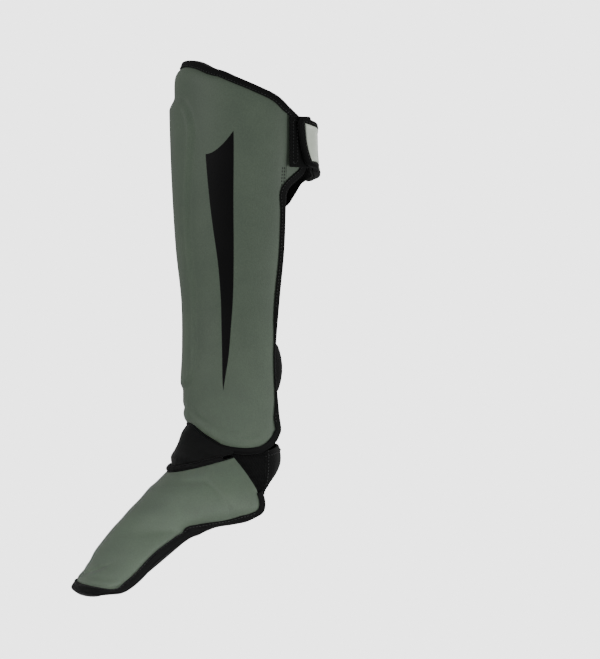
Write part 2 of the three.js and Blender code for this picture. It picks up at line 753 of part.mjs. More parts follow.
function calfStrapLine() {
  const edge = shinSection(calfStrapLevel).rear;
  const free = calfStrapWay.map(({ across, behind, sag }) => new THREE.Vector3(
    calfHalfWidth * across,
    edge + calfStrapBehind * behind,
    calfStrapLevel - farStrapSag * sag,
  ));
  return [
    strapOnWing(0.12, 1, calfStrapLevel),
    strapOnWing(0.7, 1, calfStrapLevel),
    strapOnWing(1.2, 1, calfStrapLevel),
    ...free,
    strapOnWing(1.2, -1, calfStrapLevel - farStrapSag),
    strapOnWing(0.7, -1, calfStrapLevel - farStrapSag),
    strapOnWing(0.12, -1, calfStrapLevel - farStrapSag),
  ];
}

const calfStrapPoints = calfStrapLine();
const calfStrapLength = new THREE.CatmullRomCurve3(calfStrapPoints, false, 'centripetal').getLength();
const calfStrapLie = { lean: calfStrapLean };
const calfStrapPlaces = placesAlong(calfStrapPoints, 44, upright, calfStrapLie);
addPiece('upper_strap', band(calfStrapPlaces, calfStrapWidth, strapWall), webbing);

// Closing tab: the loose end of the strap with its own bound edge, laid over the strap
function tabStretch(inset, count) {
  const stretch = {
    from: (tabOffset + inset) / calfStrapLength,
    to: (tabOffset + tabLength - inset) / calfStrapLength,
    lean: calfStrapLean,
  };
  return lifted(placesAlong(calfStrapPoints, count, upright, stretch), tabOut, tabDrop);
}

function lifted(places, out, drop) {
  return places.map(({ point, normal, up }) => (
    { point: point.clone().addScaledVector(normal, out).addScaledVector(up, -drop), normal, up }
  ));
}

const tabOut = innerGap + bindingWall + clearance + tabWall;
const tabPlaces = tabStretch(0, 18);
const tabCoreHeight = tabHeight - 2 * tapeOut;

addPiece('strap_tab', band(tabPlaces, tabCoreHeight, tabWall), webbing);

// The tab's bound edge: a flat frame of folded tape round its four sides
function tabBinding() {
  const last = tabPlaces.length - 1;
  const half = tabCoreHeight / 2;
  const stations = [];
  const station = (k, lift, inAlong, inUp) => stations.push({ k, lift, inAlong, inUp });
  for (let k = 0; k <= last; k += 1) station(k, half, k === 0 ? 1 : k === last ? -1 : 0, -1);
  for (let k = last; k >= 0; k -= 1) station(k, -half, k === 0 ? 1 : k === last ? -1 : 0, 1);
  const point = (s, inward, depth) => {
    const place = tabPlaces[s.k];
    const next = tabPlaces[Math.min(s.k + 1, last)].point;
    const before = tabPlaces[Math.max(s.k - 1, 0)].point;
    const along = next.clone().sub(before).setZ(0).normalize();
    const result = place.point.clone();
    result.addScaledVector(place.normal, -depth);
    result.addScaledVector(along, s.inAlong * inward);
    result.addScaledVector(place.up, s.lift + s.inUp * inward);
    return result;
  };
  return sweep(stations.map((s) => {
    const out = clearance + bindingWall;
    return [
      point(s, tabLap, -out),
      point(s, -out, -out),
      point(s, -out, tabWall + out),
      point(s, tabLap, tabWall + out),
      point(s, tabLap, tabWall + clearance),
      point(s, -clearance, tabWall + clearance),
      point(s, -clearance, -clearance),
      point(s, tabLap, -clearance),
    ];
  }));
}

addPiece('tab_binding', tabBinding(), black);

const labelInset = tabLap + clearance + labelMargin;
const labelPlaces = lifted(tabStretch(labelInset, 18), clearance + labelWall, 0);
const labelHeight = tabCoreHeight - 2 * labelInset;
addPiece('tab_label', band(labelPlaces, labelHeight, labelWall), pale);

// Lower strap: from inside one rear edge round behind the lower calf to the other
function lowerStrapLine() {
  const section = shinSection(lowerStrapLevel);
  const inset = rimSink(1) + rimWall + innerGap + bindingWall + clearance;
  const reach = lowerStrapWidth / 2;
  const halves = [-reach, 0, reach].map((lift) => shinSection(lowerStrapLevel + lift).half);
  const edge = Math.min(...halves) - inset;
  const grip = bindingWidth + clearance;
  const way = [
    [1, section.rear - grip],
    [1, section.rear - grip / 2],
    [0.98, section.rear + lowerStrapBehind * 0.2],
    [0.78, section.rear + lowerStrapBehind * 0.72],
    [0.42, section.rear + lowerStrapBehind * 0.94],
    [0, section.rear + lowerStrapBehind],
  ];
  const left = way.map(([share, y]) => new THREE.Vector3(edge * share, y, lowerStrapLevel));
  const right = way.slice(0, -1).reverse();
  return [...left, ...right.map(([share, y]) => new THREE.Vector3(-edge * share, y, lowerStrapLevel))];
}

const lowerStrapPlaces = placesAlong(lowerStrapLine(), 28, upright);
addPiece('lower_strap', band(lowerStrapPlaces, lowerStrapWidth, strapWall, lowerStrapCrown), webbing);

// Ankle elastic: a panel on each side between the shin pad, the foot pad and the heel strap.
// down runs from the panel's top (0) to its point at the foot pad's corner (1)
const elasticDepth = 1;
const elasticTop = -shinDrop - tapeOut - clearance;

function heelSeam(down, depth, hand) {
  const half = mix(heelHalfTop, heelHalfBottom, down) - depth;
  const z = mix(elasticTop, footRib(gussetEnd).edgeZ, down);
  return new THREE.Vector3(half * hand, heelFront, z);
}

function gusset(hand) {
  const downs = [0, 0.25, 0.5, 0.75, 1];
  const grid = (depth) => downs.map((down) => [0, 0.33, 0.67, 1].map((back) => {
    const front = footPoint(gussetEnd * down, hand, elasticDepth + depth);
    front.y += clearance;
    const seam = heelSeam(down, depth, hand);
    return front.lerp(seam, back);
  }));
  return wall(grid(0), grid(elasticWall));
}

addPiece('gusset_left', gusset(1), webbing);
addPiece('gusset_right', gusset(-1), webbing);

// Heel strap: from seam to seam round the back of the ankle, drawn in at its lower edge.
// back is a share of its reach behind the seams
const heelRows = [
  { down: 0, back: 0.93 },
  { down: 0.25, back: 1 },
  { down: 0.55, back: 0.9 },
  { down: 0.8, back: 0.66 },
  { down: 1, back: 0.4 },
];

function heelStrap() {
  const turns = 16;
  const reach = heelReach - heelFront;
  const grid = (depth) => heelRows.map(({ down, back }) => {
    const row = [];
    for (let k = 0; k <= turns; k += 1) {
      const turn = Math.PI * (k / turns - 0.5);
      const point = heelSeam(down, depth, 1);
      point.x *= Math.sin(turn);
      point.y += clearance + (reach * back - depth) * Math.cos(turn);
      point.z += mix(heelRise, heelDraw, down) * Math.cos(turn);
      row.push(point);
    }
    return row;
  });
  return wall(grid(0), grid(elasticWall));
}

addPiece('heel_strap', heelStrap(), webbing);

// Sole strap: from inside one edge of the foot pad across under the sole to the other.
// half is a share of the inner half width, down a share of the strap's sag
const soleStrapWay = [
  { half: 1, down: -0.6 },
  { half: 1, down: -0.2 },
  { half: 0.93, down: 0.5 },
  { half: 0.7, down: 0.9 },
  { half: 0.35, down: 0.98 },
  { half: 0, down: 1 },
];

function soleStrap() {
  const start = footRib(soleStrapStart);
  const end = footRib(soleStrapEnd);
  const from = new THREE.Vector3(0, end.edgeY, end.edgeZ);
  const to = new THREE.Vector3(0, start.edgeY, start.edgeZ);
  const middle = from.clone().lerp(to, 0.5);
  const along = to.clone().sub(from);
  const width = along.length();
  along.normalize();
  const down = new THREE.Vector3(0, -along.z, along.y).negate();
  const inset = footSink + footRim + innerGap + bindingWall;
  const lapTurn = (Math.PI / 2) * (1 - footLapShare);
  const inner = (Math.min(start.half, end.half) - inset) * Math.sin(lapTurn) - 3 * clearance;
  const place = (hand) => ({ half, down: share }) => {
    const point = middle.clone().addScaledVector(down, soleStrapSag * share);
    point.x = inner * half * hand;
    return point;
  };
  const left = soleStrapWay.map(place(1));
  const right = soleStrapWay.slice(0, -1).reverse().map(place(-1));
  return band(placesAlong([...left, ...right], 24, along), width, elasticWall);
}

addPiece('sole_strap', soleStrap(), webbing);

export default group;
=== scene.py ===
# %% [markdown]
# Kickboxing shin guard for the left leg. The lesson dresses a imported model, the frame, with
# finished pieces: leather over foam, folded tape, elastic, a padded tongue and stitches.
# Every piece is worked out in millimetres from a few sizes and short tables, and goes to
# metres only when its mesh is made.

# %% Load the frame
import math

import bpy
import numpy as np
from mathutils import Matrix, Vector
from mathutils.bvhtree import BVHTree
from mathutils.kdtree import KDTree


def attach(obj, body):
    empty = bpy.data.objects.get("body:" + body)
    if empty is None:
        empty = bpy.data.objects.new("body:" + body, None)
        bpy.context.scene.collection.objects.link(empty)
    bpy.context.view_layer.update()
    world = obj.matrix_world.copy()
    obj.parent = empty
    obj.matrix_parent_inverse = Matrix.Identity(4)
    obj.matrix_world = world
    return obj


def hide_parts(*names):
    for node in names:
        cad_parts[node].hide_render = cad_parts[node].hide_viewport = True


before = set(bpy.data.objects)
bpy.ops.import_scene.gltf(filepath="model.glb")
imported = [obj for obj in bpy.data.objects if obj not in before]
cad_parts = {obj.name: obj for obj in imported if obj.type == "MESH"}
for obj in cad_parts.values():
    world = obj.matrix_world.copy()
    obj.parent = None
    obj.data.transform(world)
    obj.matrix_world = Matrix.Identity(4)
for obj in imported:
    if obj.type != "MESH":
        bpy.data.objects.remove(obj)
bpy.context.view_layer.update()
MM = 0.001
print("nodes in the frame:", ", ".join(sorted(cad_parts)))

# %% [markdown]
# The guard was pictured from its left side, level with the shin, by a camera far enough away
# to flatten it. A long lens two metres off gives that view, and its centre is set so that
# the seat point of the pad falls where the picture has it.

# %% Camera
VIEW_ANGLE = 75.0
VIEW_DISTANCE = 2.0
PICTURE = (600, 659)
SEAT_PIXEL = (202, 260)
PIXEL = 1.0 * MM

turn = math.radians(VIEW_ANGLE)
toward_camera = Vector((math.sin(turn), -math.cos(turn), 0))
picture_right = Vector((math.cos(turn), math.sin(turn), 0))
place = toward_camera * VIEW_DISTANCE
place -= picture_right * (SEAT_PIXEL[0] - PICTURE[0] / 2) * PIXEL
place.z += (SEAT_PIXEL[1] - PICTURE[1] / 2) * PIXEL

camera_data = bpy.data.cameras.new("camera")
camera_data.sensor_width = 36
camera_data.lens = 36 * VIEW_DISTANCE / (PICTURE[1] * PIXEL)
camera = bpy.data.objects.new("camera", camera_data)
bpy.context.scene.collection.objects.link(camera)
picture_up = toward_camera.cross(picture_right)
turned = Matrix((picture_right, picture_up, toward_camera)).transposed()
camera.matrix_world = Matrix.Translation(place) @ turned.to_4x4()
bpy.context.scene.camera = camera
print("lens", round(camera_data.lens, 1), "mm")

# %% [markdown]
# Colours are written as they look on a screen, in hex, and one function turns them to the
# linear values that light works in. One more function adds a node with its settings and
# its links, and every finish and light below uses it.

# %% Colours and nodes
def linear(code):
    values = [int(code[i:i + 2], 16) / 255 for i in (1, 3, 5)]
    return tuple(v / 12.92 if v <= 0.04045 else ((v + 0.055) / 1.055) ** 2.4 for v in values) + (1.0,)


def add(tree, kind, inputs=None, **settings):
    made = tree.nodes.new(kind)
    for key, value in settings.items():
        setattr(made, key, value)
    for key, value in (inputs or {}).items():
        if isinstance(value, bpy.types.NodeSocket):
            tree.links.new(value, made.inputs[key])
        else:
            made.inputs[key].default_value = value
    return made


def new_material(name):
    material = bpy.data.materials.new(name)
    material.use_nodes = True
    material.node_tree.nodes.clear()
    return material, material.node_tree


# %% [markdown]
# The studio is a pale sweep lit all round. The camera sees the bright sweep, while the guard
# gets a dimmer soft light from it, so that dark cloth keeps its depth. Three wide lamps give
# the soft edges: a key from in front of the shin, a low one at its side, and one behind. A
# small narrow one lifts the foot, which the photo shows paler than the shin.

# %% Studio
SWEEP_SEEN = 3.3
SWEEP_LIGHT = 0.3
FLOOR_LEVEL = -0.6
FLOOR_RADIUS = 1.1

world = bpy.data.worlds.new("pale_sweep")
bpy.context.scene.world = world
world.use_nodes = True
sky = world.node_tree
sky.nodes.clear()
seen = add(sky, "ShaderNodeBackground", {"Color": (1, 1, 1, 1), "Strength": SWEEP_SEEN})
light = add(sky, "ShaderNodeBackground", {"Color": (1, 1, 1, 1), "Strength": SWEEP_LIGHT})
ray = add(sky, "ShaderNodeLightPath")
both = add(sky, "ShaderNodeMixShader", {
    0: ray.outputs["Is Camera Ray"], 1: light.outputs[0], 2: seen.outputs[0]})
add(sky, "ShaderNodeOutputWorld", {"Surface": both.outputs[0]})


def lamp(name, place, size, power, aim=(0, 0, -0.05), spread=180):
    data = bpy.data.lights.new(name, "AREA")
    data.shape = "DISK"
    data.size = size
    data.energy = power
    data.spread = math.radians(spread)
    made = bpy.data.objects.new(name, data)
    bpy.context.scene.collection.objects.link(made)
    made.location = place
    made.rotation_euler = (Vector(aim) - Vector(place)).to_track_quat("-Z", "Y").to_euler()


lamp("key", (0.5, -1.9, 0.7), 1.3, 13.5)
lamp("low", (1.3, 1.0, -0.42), 0.9, 13)
lamp("foot", (1.3, -0.4, -0.5), 0.5, 0.5, (0.03, -0.06, -0.48), 22)
lamp("behind", (-0.5, 1.8, 0.6), 1.2, 9)

floor_material, tree = new_material("pale_studio_floor")
grain = add(tree, "ShaderNodeTexNoise", {"Scale": 40.0, "Detail": 4.0})
tone = add(tree, "ShaderNodeValToRGB", {"Fac": grain.outputs["Fac"]})
tone.color_ramp.elements[0].color = linear("#e2e2e2")
tone.color_ramp.elements[1].color = linear("#eaeaea")
paper = add(tree, "ShaderNodeBsdfPrincipled", {"Base Color": tone.outputs[0], "Roughness": 0.9})
add(tree, "ShaderNodeOutputMaterial", {"Surface": paper.outputs[0]})
rim = [(FLOOR_RADIUS * math.cos(a), FLOOR_RADIUS * math.sin(a), FLOOR_LEVEL)
       for a in np.linspace(0, 2 * math.pi, 64, endpoint=False)]
floor_mesh = bpy.data.meshes.new("floor")
floor_mesh.from_pydata(rim, [], [list(range(len(rim)))])
floor_mesh.materials.append(floor_material)
floor = bpy.data.objects.new("floor", floor_mesh)
bpy.context.scene.collection.objects.link(floor)
print("studio ready")

# %% [markdown]
# The shell is synthetic leather: polyurethane film on a knitted backing, embossed with a
# fine grain and matt. To the eye that is an even grey-green with faint clouding, a broad
# soft gloss along the edges and a grain about a millimetre across. Noise in Object
# coordinates gives the clouding and two sizes of grain, because the skin has no seams here.

# %% Synthetic leather
GRAIN = 1.3
CLOUD = 38.0


def leather(name, dark, light, rough, shine=0.4):
    material, tree = new_material(name)
    at = add(tree, "ShaderNodeTexCoord").outputs["Object"]
    cloud = add(tree, "ShaderNodeTexNoise", {"Vector": at, "Scale": 1000 / CLOUD, "Detail": 3.0})
    fine = add(tree, "ShaderNodeTexNoise", {"Vector": at, "Scale": 1000 / GRAIN, "Detail": 2.0})
    cells = add(tree, "ShaderNodeTexVoronoi", {"Vector": at, "Scale": 1000 / GRAIN})
    tone = add(tree, "ShaderNodeValToRGB", {"Fac": cloud.outputs["Fac"]})
    tone.color_ramp.elements[0].position = 0.3
    tone.color_ramp.elements[0].color = linear(dark)
    tone.color_ramp.elements[1].position = 0.72
    tone.color_ramp.elements[1].color = linear(light)
    fleck = add(tree, "ShaderNodeMapRange", {0: fine.outputs["Fac"], 1: 0.3, 2: 0.7, 3: 0.9, 4: 1.08})
    colour = add(tree, "ShaderNodeVectorMath", {
        0: tone.outputs[0], 1: fleck.outputs[0]}, operation="MULTIPLY")
    gloss = add(tree, "ShaderNodeMapRange", {0: fine.outputs["Fac"], 3: rough - 0.06, 4: rough + 0.08})
    dents = add(tree, "ShaderNodeMath", {
        0: cells.outputs["Distance"], 1: fine.outputs["Fac"]}, operation="ADD")
    bump = add(tree, "ShaderNodeBump", {
        "Height": dents.outputs[0], "Strength": 0.22, "Distance": 0.0003})
    skin = add(tree, "ShaderNodeBsdfPrincipled", {
        "Base Color": colour.outputs[0], "Roughness": gloss.outputs[0], "Normal": bump.outputs[0],
        "Specular IOR Level": shine, "Sheen Weight": 0.3 * shine, "Sheen Roughness": 0.5,
    })
    add(tree, "ShaderNodeOutputMaterial", {"Surface": skin.outputs[0]})
    return material


green_leather = leather("grey_green_synthetic_leather", "#556254", "#5c6a5a", 0.56)
print(green_leather.name)

# %% [markdown]
# The black printed blades are ink under a clear film, pressed on the leather. It is smoother
# than the skin and shows the same grain faintly, so the same finish is used with other
# colours, a lower roughness and less shine, because the print is laid on matt.

# %% Printed film
black_film = leather("black_printed_film", "#050506", "#09090a", 0.5, shine=0.14)
print(black_film.name)

# %% [markdown]
# Tape, elastic and cloth are woven, and a weave follows its piece. Each such piece carries a
# map in real millimetres, along and across, and the weave is drawn on that map: ribs across
# the tape, ribs along the elastic. Real ribs are under a millimetre apart, and they are
# drawn a little coarser so that they show.

# %% Woven finishes
WAVE_PERIOD = 2 * math.pi / 20


def woven(name, dark, light, along, across, height, rough, sheen):
    material, tree = new_material(name)
    at = add(tree, "ShaderNodeUVMap", uv_map="millimetres").outputs[0]
    bands = {}
    for axis, pitch in (("X", along), ("Y", across)):
        bands[axis] = add(tree, "ShaderNodeTexWave", {
            "Vector": at, "Scale": WAVE_PERIOD / pitch, "Distortion": 0.4, "Detail": 1.0,
        }, bands_direction=axis, wave_type="BANDS").outputs["Fac"]
    weave = add(tree, "ShaderNodeMath", {0: bands["X"], 1: bands["Y"]}, operation="ADD")
    level = add(tree, "ShaderNodeMath", {0: weave.outputs[0], 1: 0.5}, operation="MULTIPLY")
    tone = add(tree, "ShaderNodeValToRGB", {"Fac": level.outputs[0]})
    tone.color_ramp.elements[0].color = linear(dark)
    tone.color_ramp.elements[1].color = linear(light)
    bump = add(tree, "ShaderNodeBump", {
        "Height": level.outputs[0], "Strength": 0.6, "Distance": height * MM})
    cloth = add(tree, "ShaderNodeBsdfPrincipled", {
        "Base Color": tone.outputs[0], "Normal": bump.outputs[0], "Roughness": rough,
        "Specular IOR Level": 0.16, "Sheen Weight": sheen / 3, "Sheen Roughness": 0.4,
    })
    add(tree, "ShaderNodeOutputMaterial", {"Surface": cloth.outputs[0]})
    return material


black_tape = woven("black_grosgrain_tape", "#040404", "#101111", 1.4, 2.8, 0.25, 0.7, 0.15)
black_elastic = woven("black_ribbed_elastic", "#030303", "#111212", 2.6, 1.5, 0.4, 0.8, 0.2)
lining_cloth = woven("black_knitted_lining", "#060606", "#101111", 1.8, 1.8, 0.2, 0.85, 0.3)
print(black_tape.name, black_elastic.name, lining_cloth.name)

# %% [markdown]
# Meshes are made from grids of points in millimetres. A wall joins an outer and an inner
# grid round their rim, as a sheet of foam has two faces and an edge. A sweep joins rings of
# points along a way, as a tape or a strap runs. Both turn themselves so that faces point
# out, and both lay the map in millimetres that the weaves read.

# %% Mesh makers
def new_object(name, points, faces, materials, slots, uv, crease):
    a, b, c, d = (points[np.array(faces)[:, k]] for k in range(4))
    volume = np.einsum("ij,ij->", a, np.cross(b, c)) + np.einsum("ij,ij->", a, np.cross(c, d))
    if volume < 0:
        faces = [tuple(reversed(face)) for face in faces]
    mesh = bpy.data.meshes.new(name)
    mesh.from_pydata((points * MM).tolist(), [], faces)
    for material in materials:
        mesh.materials.append(material)
    if slots is not None:
        mesh.polygons.foreach_set("material_index", np.asarray(slots, np.int32))
    corners = np.empty(len(mesh.loops), np.int32)
    mesh.loops.foreach_get("vertex_index", corners)
    layer = mesh.uv_layers.new(name="millimetres")
    layer.data.foreach_set("uv", np.asarray(uv, np.float32)[corners].ravel())
    mesh.shade_smooth()
    mesh.set_sharp_from_angle(angle=math.radians(crease))
    mesh.update()
    made = bpy.data.objects.new(name, mesh)
    bpy.context.scene.collection.objects.link(made)
    return made


def steps_between(points, axis):
    step = np.linalg.norm(np.diff(points, axis=axis), axis=2)
    start = np.zeros_like(np.take(points[..., 0], [0], axis=axis))
    return np.concatenate([start, np.cumsum(step, axis=axis)], axis=axis)


def squares(number):
    corners = [number[:-1, :-1], number[:-1, 1:], number[1:, 1:], number[1:, :-1]]
    return np.stack(corners, axis=-1).reshape(-1, 4)


def wall(name, outer, inner, materials, crease=50):
    rows, columns = outer.shape[:2]
    shift = rows * columns
    number = np.arange(shift).reshape(rows, columns)
    front_faces = squares(number)
    back_faces = squares(number + shift)[:, ::-1]
    ring = np.concatenate([number[0, :-1], number[:-1, -1], number[-1, :0:-1], number[:0:-1, 0]])
    after = np.roll(ring, -1)
    rim_faces = np.stack([after, ring, ring + shift, after + shift], axis=-1)
    faces = np.concatenate([front_faces, back_faces, rim_faces]).tolist()
    slots = [0] * len(front_faces) + [len(materials) - 1] * (len(back_faces) + len(rim_faces))
    flat = np.stack([steps_between(outer, 1), steps_between(outer, 0)], axis=-1).reshape(-1, 2)
    points = np.concatenate([outer.reshape(-1, 3), inner.reshape(-1, 3)])
    return new_object(name, points, faces, materials, slots, np.concatenate([flat, flat]), crease)


def sweep(name, rings, materials, closed=False, crease=50):
    stations, sides = rings.shape[:2]
    number = np.arange(stations * sides).reshape(stations, sides)
    if closed:
        number = np.concatenate([number, number[:1]])
    right = np.roll(number, -1, axis=1)
    faces = np.stack([number[:-1], right[:-1], right[1:], number[1:]], axis=-1).reshape(-1, 4).tolist()
    if not closed:
        end = (stations - 1) * sides
        for k in range(sides // 2 - 1):
            quad = (k, k + 1, sides - 2 - k, sides - 1 - k)
            faces.append(tuple(reversed(quad)))
            faces.append(tuple(end + i for i in quad))
    flat = np.stack([steps_between(rings, 0), steps_between(rings, 1)], axis=-1).reshape(-1, 2)
    return new_object(name, rings.reshape(-1, 3), faces, materials, None, flat, crease)


def keep(made, slot, *nodes):
    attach(made, "root")
    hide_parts(*nodes)
    count = sum(len(p.vertices) - 2 for p in made.data.polygons)
    print(made.name, count, "triangles")


# %% [markdown]
# A table holds the measured sections of a piece, one row for each, as shares of a named
# size. Between rows its value runs on a cubic whose slopes come from the rows on either
# side, so that a moulded form has no corners.

# %% Tables
def table(names, *rows):
    return {name: np.array(column, float) for name, column in zip(names.split(), zip(*rows))}


def read(rows, key, column, at):
    keys, values = rows[key], rows[column]
    slopes = np.gradient(values, keys)
    slopes[1:-1] = (values[2:] - values[:-2]) / (keys[2:] - keys[:-2])
    place = np.clip(at, keys[0], keys[-1])
    i = np.clip(np.searchsorted(keys, place) - 1, 0, len(keys) - 2)
    span = keys[i + 1] - keys[i]
    u = (place - keys[i]) / span
    rise = values[i + 1] - values[i]
    bend_a = slopes[i] * span - rise
    bend_b = rise - slopes[i + 1] * span
    return values[i] + rise * u + u * (1 - u) * ((1 - u) * bend_a + u * bend_b)


def mix(a, b, share):
    return a + (b - a) * share


def smooth(value):
    value = np.clip(value, 0, 1)
    return value * value * (3 - 2 * value)


# %% [markdown]
# The shin pad is one sheet of thick foam, heat moulded under its leather. Its section is
# half an ellipse, open behind, and each level has its own width and depth. A place on it is
# given by how far it lies across the sheet from the nose, its height, and its depth under
# the skin, so the same function makes skin, lining, tape, print and stitches.

# %% Shin pad form
SHIN_TOP, SHIN_DROP = 196.3, 187.0
CALF_HALF, NOSE_REACH, REAR_REACH = 70.0, 26.8, 70.0
TOP_ROUND, BOTTOM_RISE = 50.0, 26.0
SIDE_WALL, RIM_WALL, SINK_SHARE = 10.0, 7.0, 0.4
SHOULDER = 14.0
WING_LEAN = math.radians(18)

SHIN = table(
    "level width front rear proud",
    (0, 0.78, 0.7, 0.92, 0.5),
    (0.09, 0.785, 0.7, 0.92, 0.5),
    (0.174, 0.8, 0.69, 0.88, 0.5),
    (0.251, 0.799, 0.62, 0.87, 0.58),
    (0.381, 0.8, 0.61, 0.925, 0.75),
    (0.51, 0.89, 0.776, 0.97, 0.9),
    (0.64, 0.934, 0.888, 0.985, 0.97),
    (0.769, 0.994, 0.964, 1, 1),
    (0.899, 1, 1.01, 1, 1),
    (0.965, 0.995, 1, 1, 1),
    (1, 0.99, 0.87, 1, 1),
)
EDGE = table(
    "side fall rise",
    (-0.17, 0.02, 0.84),
    (0, 0, 0.9),
    (0.17, 0.02, 0.84),
    (0.32, 0.095, 0.58),
    (0.46, 0.225, 0.31),
    (0.54, 0.28, 0.14),
    (0.64, 0.394, 0.04),
    (0.75, 0.525, 0),
    (0.83, 0.63, 0.03),
    (0.89, 0.71, 0.12),
    (0.945, 0.81, 0.34),
    (1, 0.965, 0.73),
)


def shin_level(z):
    return (z + SHIN_DROP) / (SHIN_TOP + SHIN_DROP)


def shin_section(z):
    level = shin_level(z)
    half = CALF_HALF * read(SHIN, "level", "width", level)
    front = -NOSE_REACH * read(SHIN, "level", "front", level)
    rear = REAR_REACH * read(SHIN, "level", "rear", level)
    deep = rear - front
    blend = ((half - deep) / (half + deep)) ** 2
    quarter = math.pi / 4 * (half + deep) * (1 + blend / 4)
    return half, front, rear, quarter


def shin_point(across, z, depth):
    across, z, depth = np.broadcast_arrays(across, z, depth)
    half, front, rear, quarter = shin_section(z)
    hand = np.sign(across)
    turn = math.pi / 2 * np.clip(np.abs(across) / quarter, 0, 1) * hand
    past = np.maximum(np.abs(across) - quarter, 0)
    x = (half - depth) * np.sin(turn) - past * math.sin(WING_LEAN) * hand
    y = rear - (rear - front - depth) * np.cos(turn) + past * math.cos(WING_LEAN)
    return np.stack([x, y, z], axis=-1)


FRONT_WALL = -float(shin_section(np.array(0.0))[1])


def shin_wall(side):
    return mix(SIDE_WALL, FRONT_WALL, np.cos(math.pi / 2 * side) ** 2)


def rim_sink(side):
    return (shin_wall(side) - RIM_WALL) * SINK_SHARE


def top_edge(side):
    return SHIN_TOP - TOP_ROUND * read(EDGE, "side", "fall", np.abs(side))


def bottom_edge(side):
    return BOTTOM_RISE * read(EDGE, "side", "rise", np.abs(side)) - SHIN_DROP


print("front wall", round(FRONT_WALL, 1), "mm")

# %% [markdown]
# The strike bar is pressed into the same skin, so it isn't a piece of its own: it is a
# height added to the skin inside an outline. Its outline is a rounded rectangle whose width
# follows a table. The height rises over a soft slope, as foam does under stretched leather,
# and that slope is longer at the bar's top. Just above the bottom edge the foam is thinner
# where the pad bends over the ankle, which leaves a shallow fold line.

# %% Strike bar and fold line
BAR_HALF, BAR_HEIGHT, BAR_TOP, BAR_BOTTOM = 41.0, 5.4, 154.0, 127.0
BAR_CORNER, BAR_SLOPE = 22.0, 8.0
BAR_TOP_PAST, BAR_TOP_EASE = 2.0, 0.55
FOLD_ABOVE, FOLD_WIDTH, FOLD_DEEP = 12.5, 3.2, 1.5
FOLD_RISE, FOLD_END = 4.0, 0.93

BAR = table(
    "level half",
    (0, 0.6), (0.381, 0.612), (0.534, 0.634), (0.598, 0.663), (0.666, 0.732),
    (0.731, 0.841), (0.798, 0.963), (0.832, 1), (1, 1),
)


def bar_height(across, z):
    half = BAR_HALF * read(BAR, "level", "half", shin_level(z))
    in_side = half - np.abs(across)
    in_end = np.minimum((BAR_TOP + BAR_TOP_PAST - z) * BAR_TOP_EASE, z + BAR_BOTTOM)
    corner = np.hypot(np.maximum(BAR_CORNER - in_side, 0), np.maximum(BAR_CORNER - in_end, 0))
    inside = np.where(corner > 0, BAR_CORNER - corner, np.minimum(in_side, in_end))
    proud = BAR_HEIGHT * read(SHIN, "level", "proud", shin_level(z))
    return proud * smooth((inside + BAR_SLOPE / 2) / BAR_SLOPE)


def fold_line(side, z):
    away = z - bottom_edge(side) - FOLD_ABOVE - FOLD_RISE * np.cos(math.pi * side) ** 2
    return FOLD_DEEP * np.exp(-(away / FOLD_WIDTH) ** 2) * smooth((FOLD_END - np.abs(side)) / 0.15)


# %% [markdown]
# Round the edge the foam is pressed flat so that tape can be sewn over it, and a rounded
# shoulder leads up to full thickness. How far the tape laps over the face changes along the
# edge: wide at the top and behind the calf, narrow at the ankle, and next to nothing on the
# lower side, where the skin itself turns round the edge and the tape shows only from behind.

# %% Pressed rim
TOP_LAP, BOTTOM_LAP, INNER_LAP = 5.2, 1.2, 7.0
PAST_LAP = 0.5
SIDE_LAP = table(
    "height lap",
    (-187, 3.4), (-158, 4), (-138, 1.6), (-118, 1), (-80, 1),
    (-64, 2.4), (-44, 3.4), (0, 3.4), (196, 3.6),
)


def side_lap(z):
    return read(SIDE_LAP, "height", "lap", z)


def pressed(from_edge, lap):
    u = np.clip((from_edge - lap - PAST_LAP) / SHOULDER, 0, 1)
    return 1 - np.sqrt(1 - (1 - u) ** 2)


def shin_depths(side, z):
    quarter = shin_section(z)[3]
    press = np.maximum.reduce([
        pressed((1 - np.abs(side)) * quarter, side_lap(z)),
        pressed(top_edge(side) - z, TOP_LAP),
        pressed(z - bottom_edge(side), BOTTOM_LAP),
    ])
    sink = rim_sink(side)
    thick = shin_wall(side)
    return sink * press, thick - (thick - RIM_WALL - sink) * press


# %% Shin pad mesh
EDGE_STEPS = np.array([0, 0.8, 1.8, 3, 4.5, 6, 7.5, 9, 11, 13.5, 16.5, 20])


def shin_grid(middle_rows, middle_columns):
    inset = EDGE_STEPS[-1]
    low, high = float(bottom_edge(np.array(0.0))), SHIN_TOP
    middle = np.linspace(0, 1, middle_rows + 2)[1:-1]
    upright = mix(low + inset, high - inset, middle)
    nose_line = np.concatenate([low + EDGE_STEPS, upright, high - EDGE_STEPS[::-1]])
    quarter = shin_section(nose_line)[3][:, None]
    to_nose = np.linspace(1, 0, middle_columns + 2)[None, 1:-1]
    half = np.concatenate([1 - EDGE_STEPS[None, :] / quarter, (1 - inset / quarter) * to_nose], axis=1)
    side = np.concatenate([-half, half[:, ::-1]], axis=1)
    bottom, top = bottom_edge(side), top_edge(side)
    count = len(EDGE_STEPS)
    z = np.concatenate([
        bottom[:count] + EDGE_STEPS[:, None],
        mix(bottom[count:-count] + inset, top[count:-count] - inset, middle[:, None]),
        top[-count:] - EDGE_STEPS[::-1, None],
    ])
    return side, z


def shin_skin(side, z, lift=0.0):
    across = side * shin_section(z)[3]
    depth = shin_depths(side, z)[0] - bar_height(across, z) + fold_line(side, z) - lift
    return shin_point(across, z, depth)


side, z = shin_grid(180, 54)
outer = shin_skin(side, z)
inner = shin_point(side * shin_section(z)[3], z, shin_depths(side, z)[1])
shin_pad = wall("moulded_shin_pad", outer, inner, [green_leather, lining_cloth], crease=70)
keep(shin_pad, "green_leather", "shin_pad")

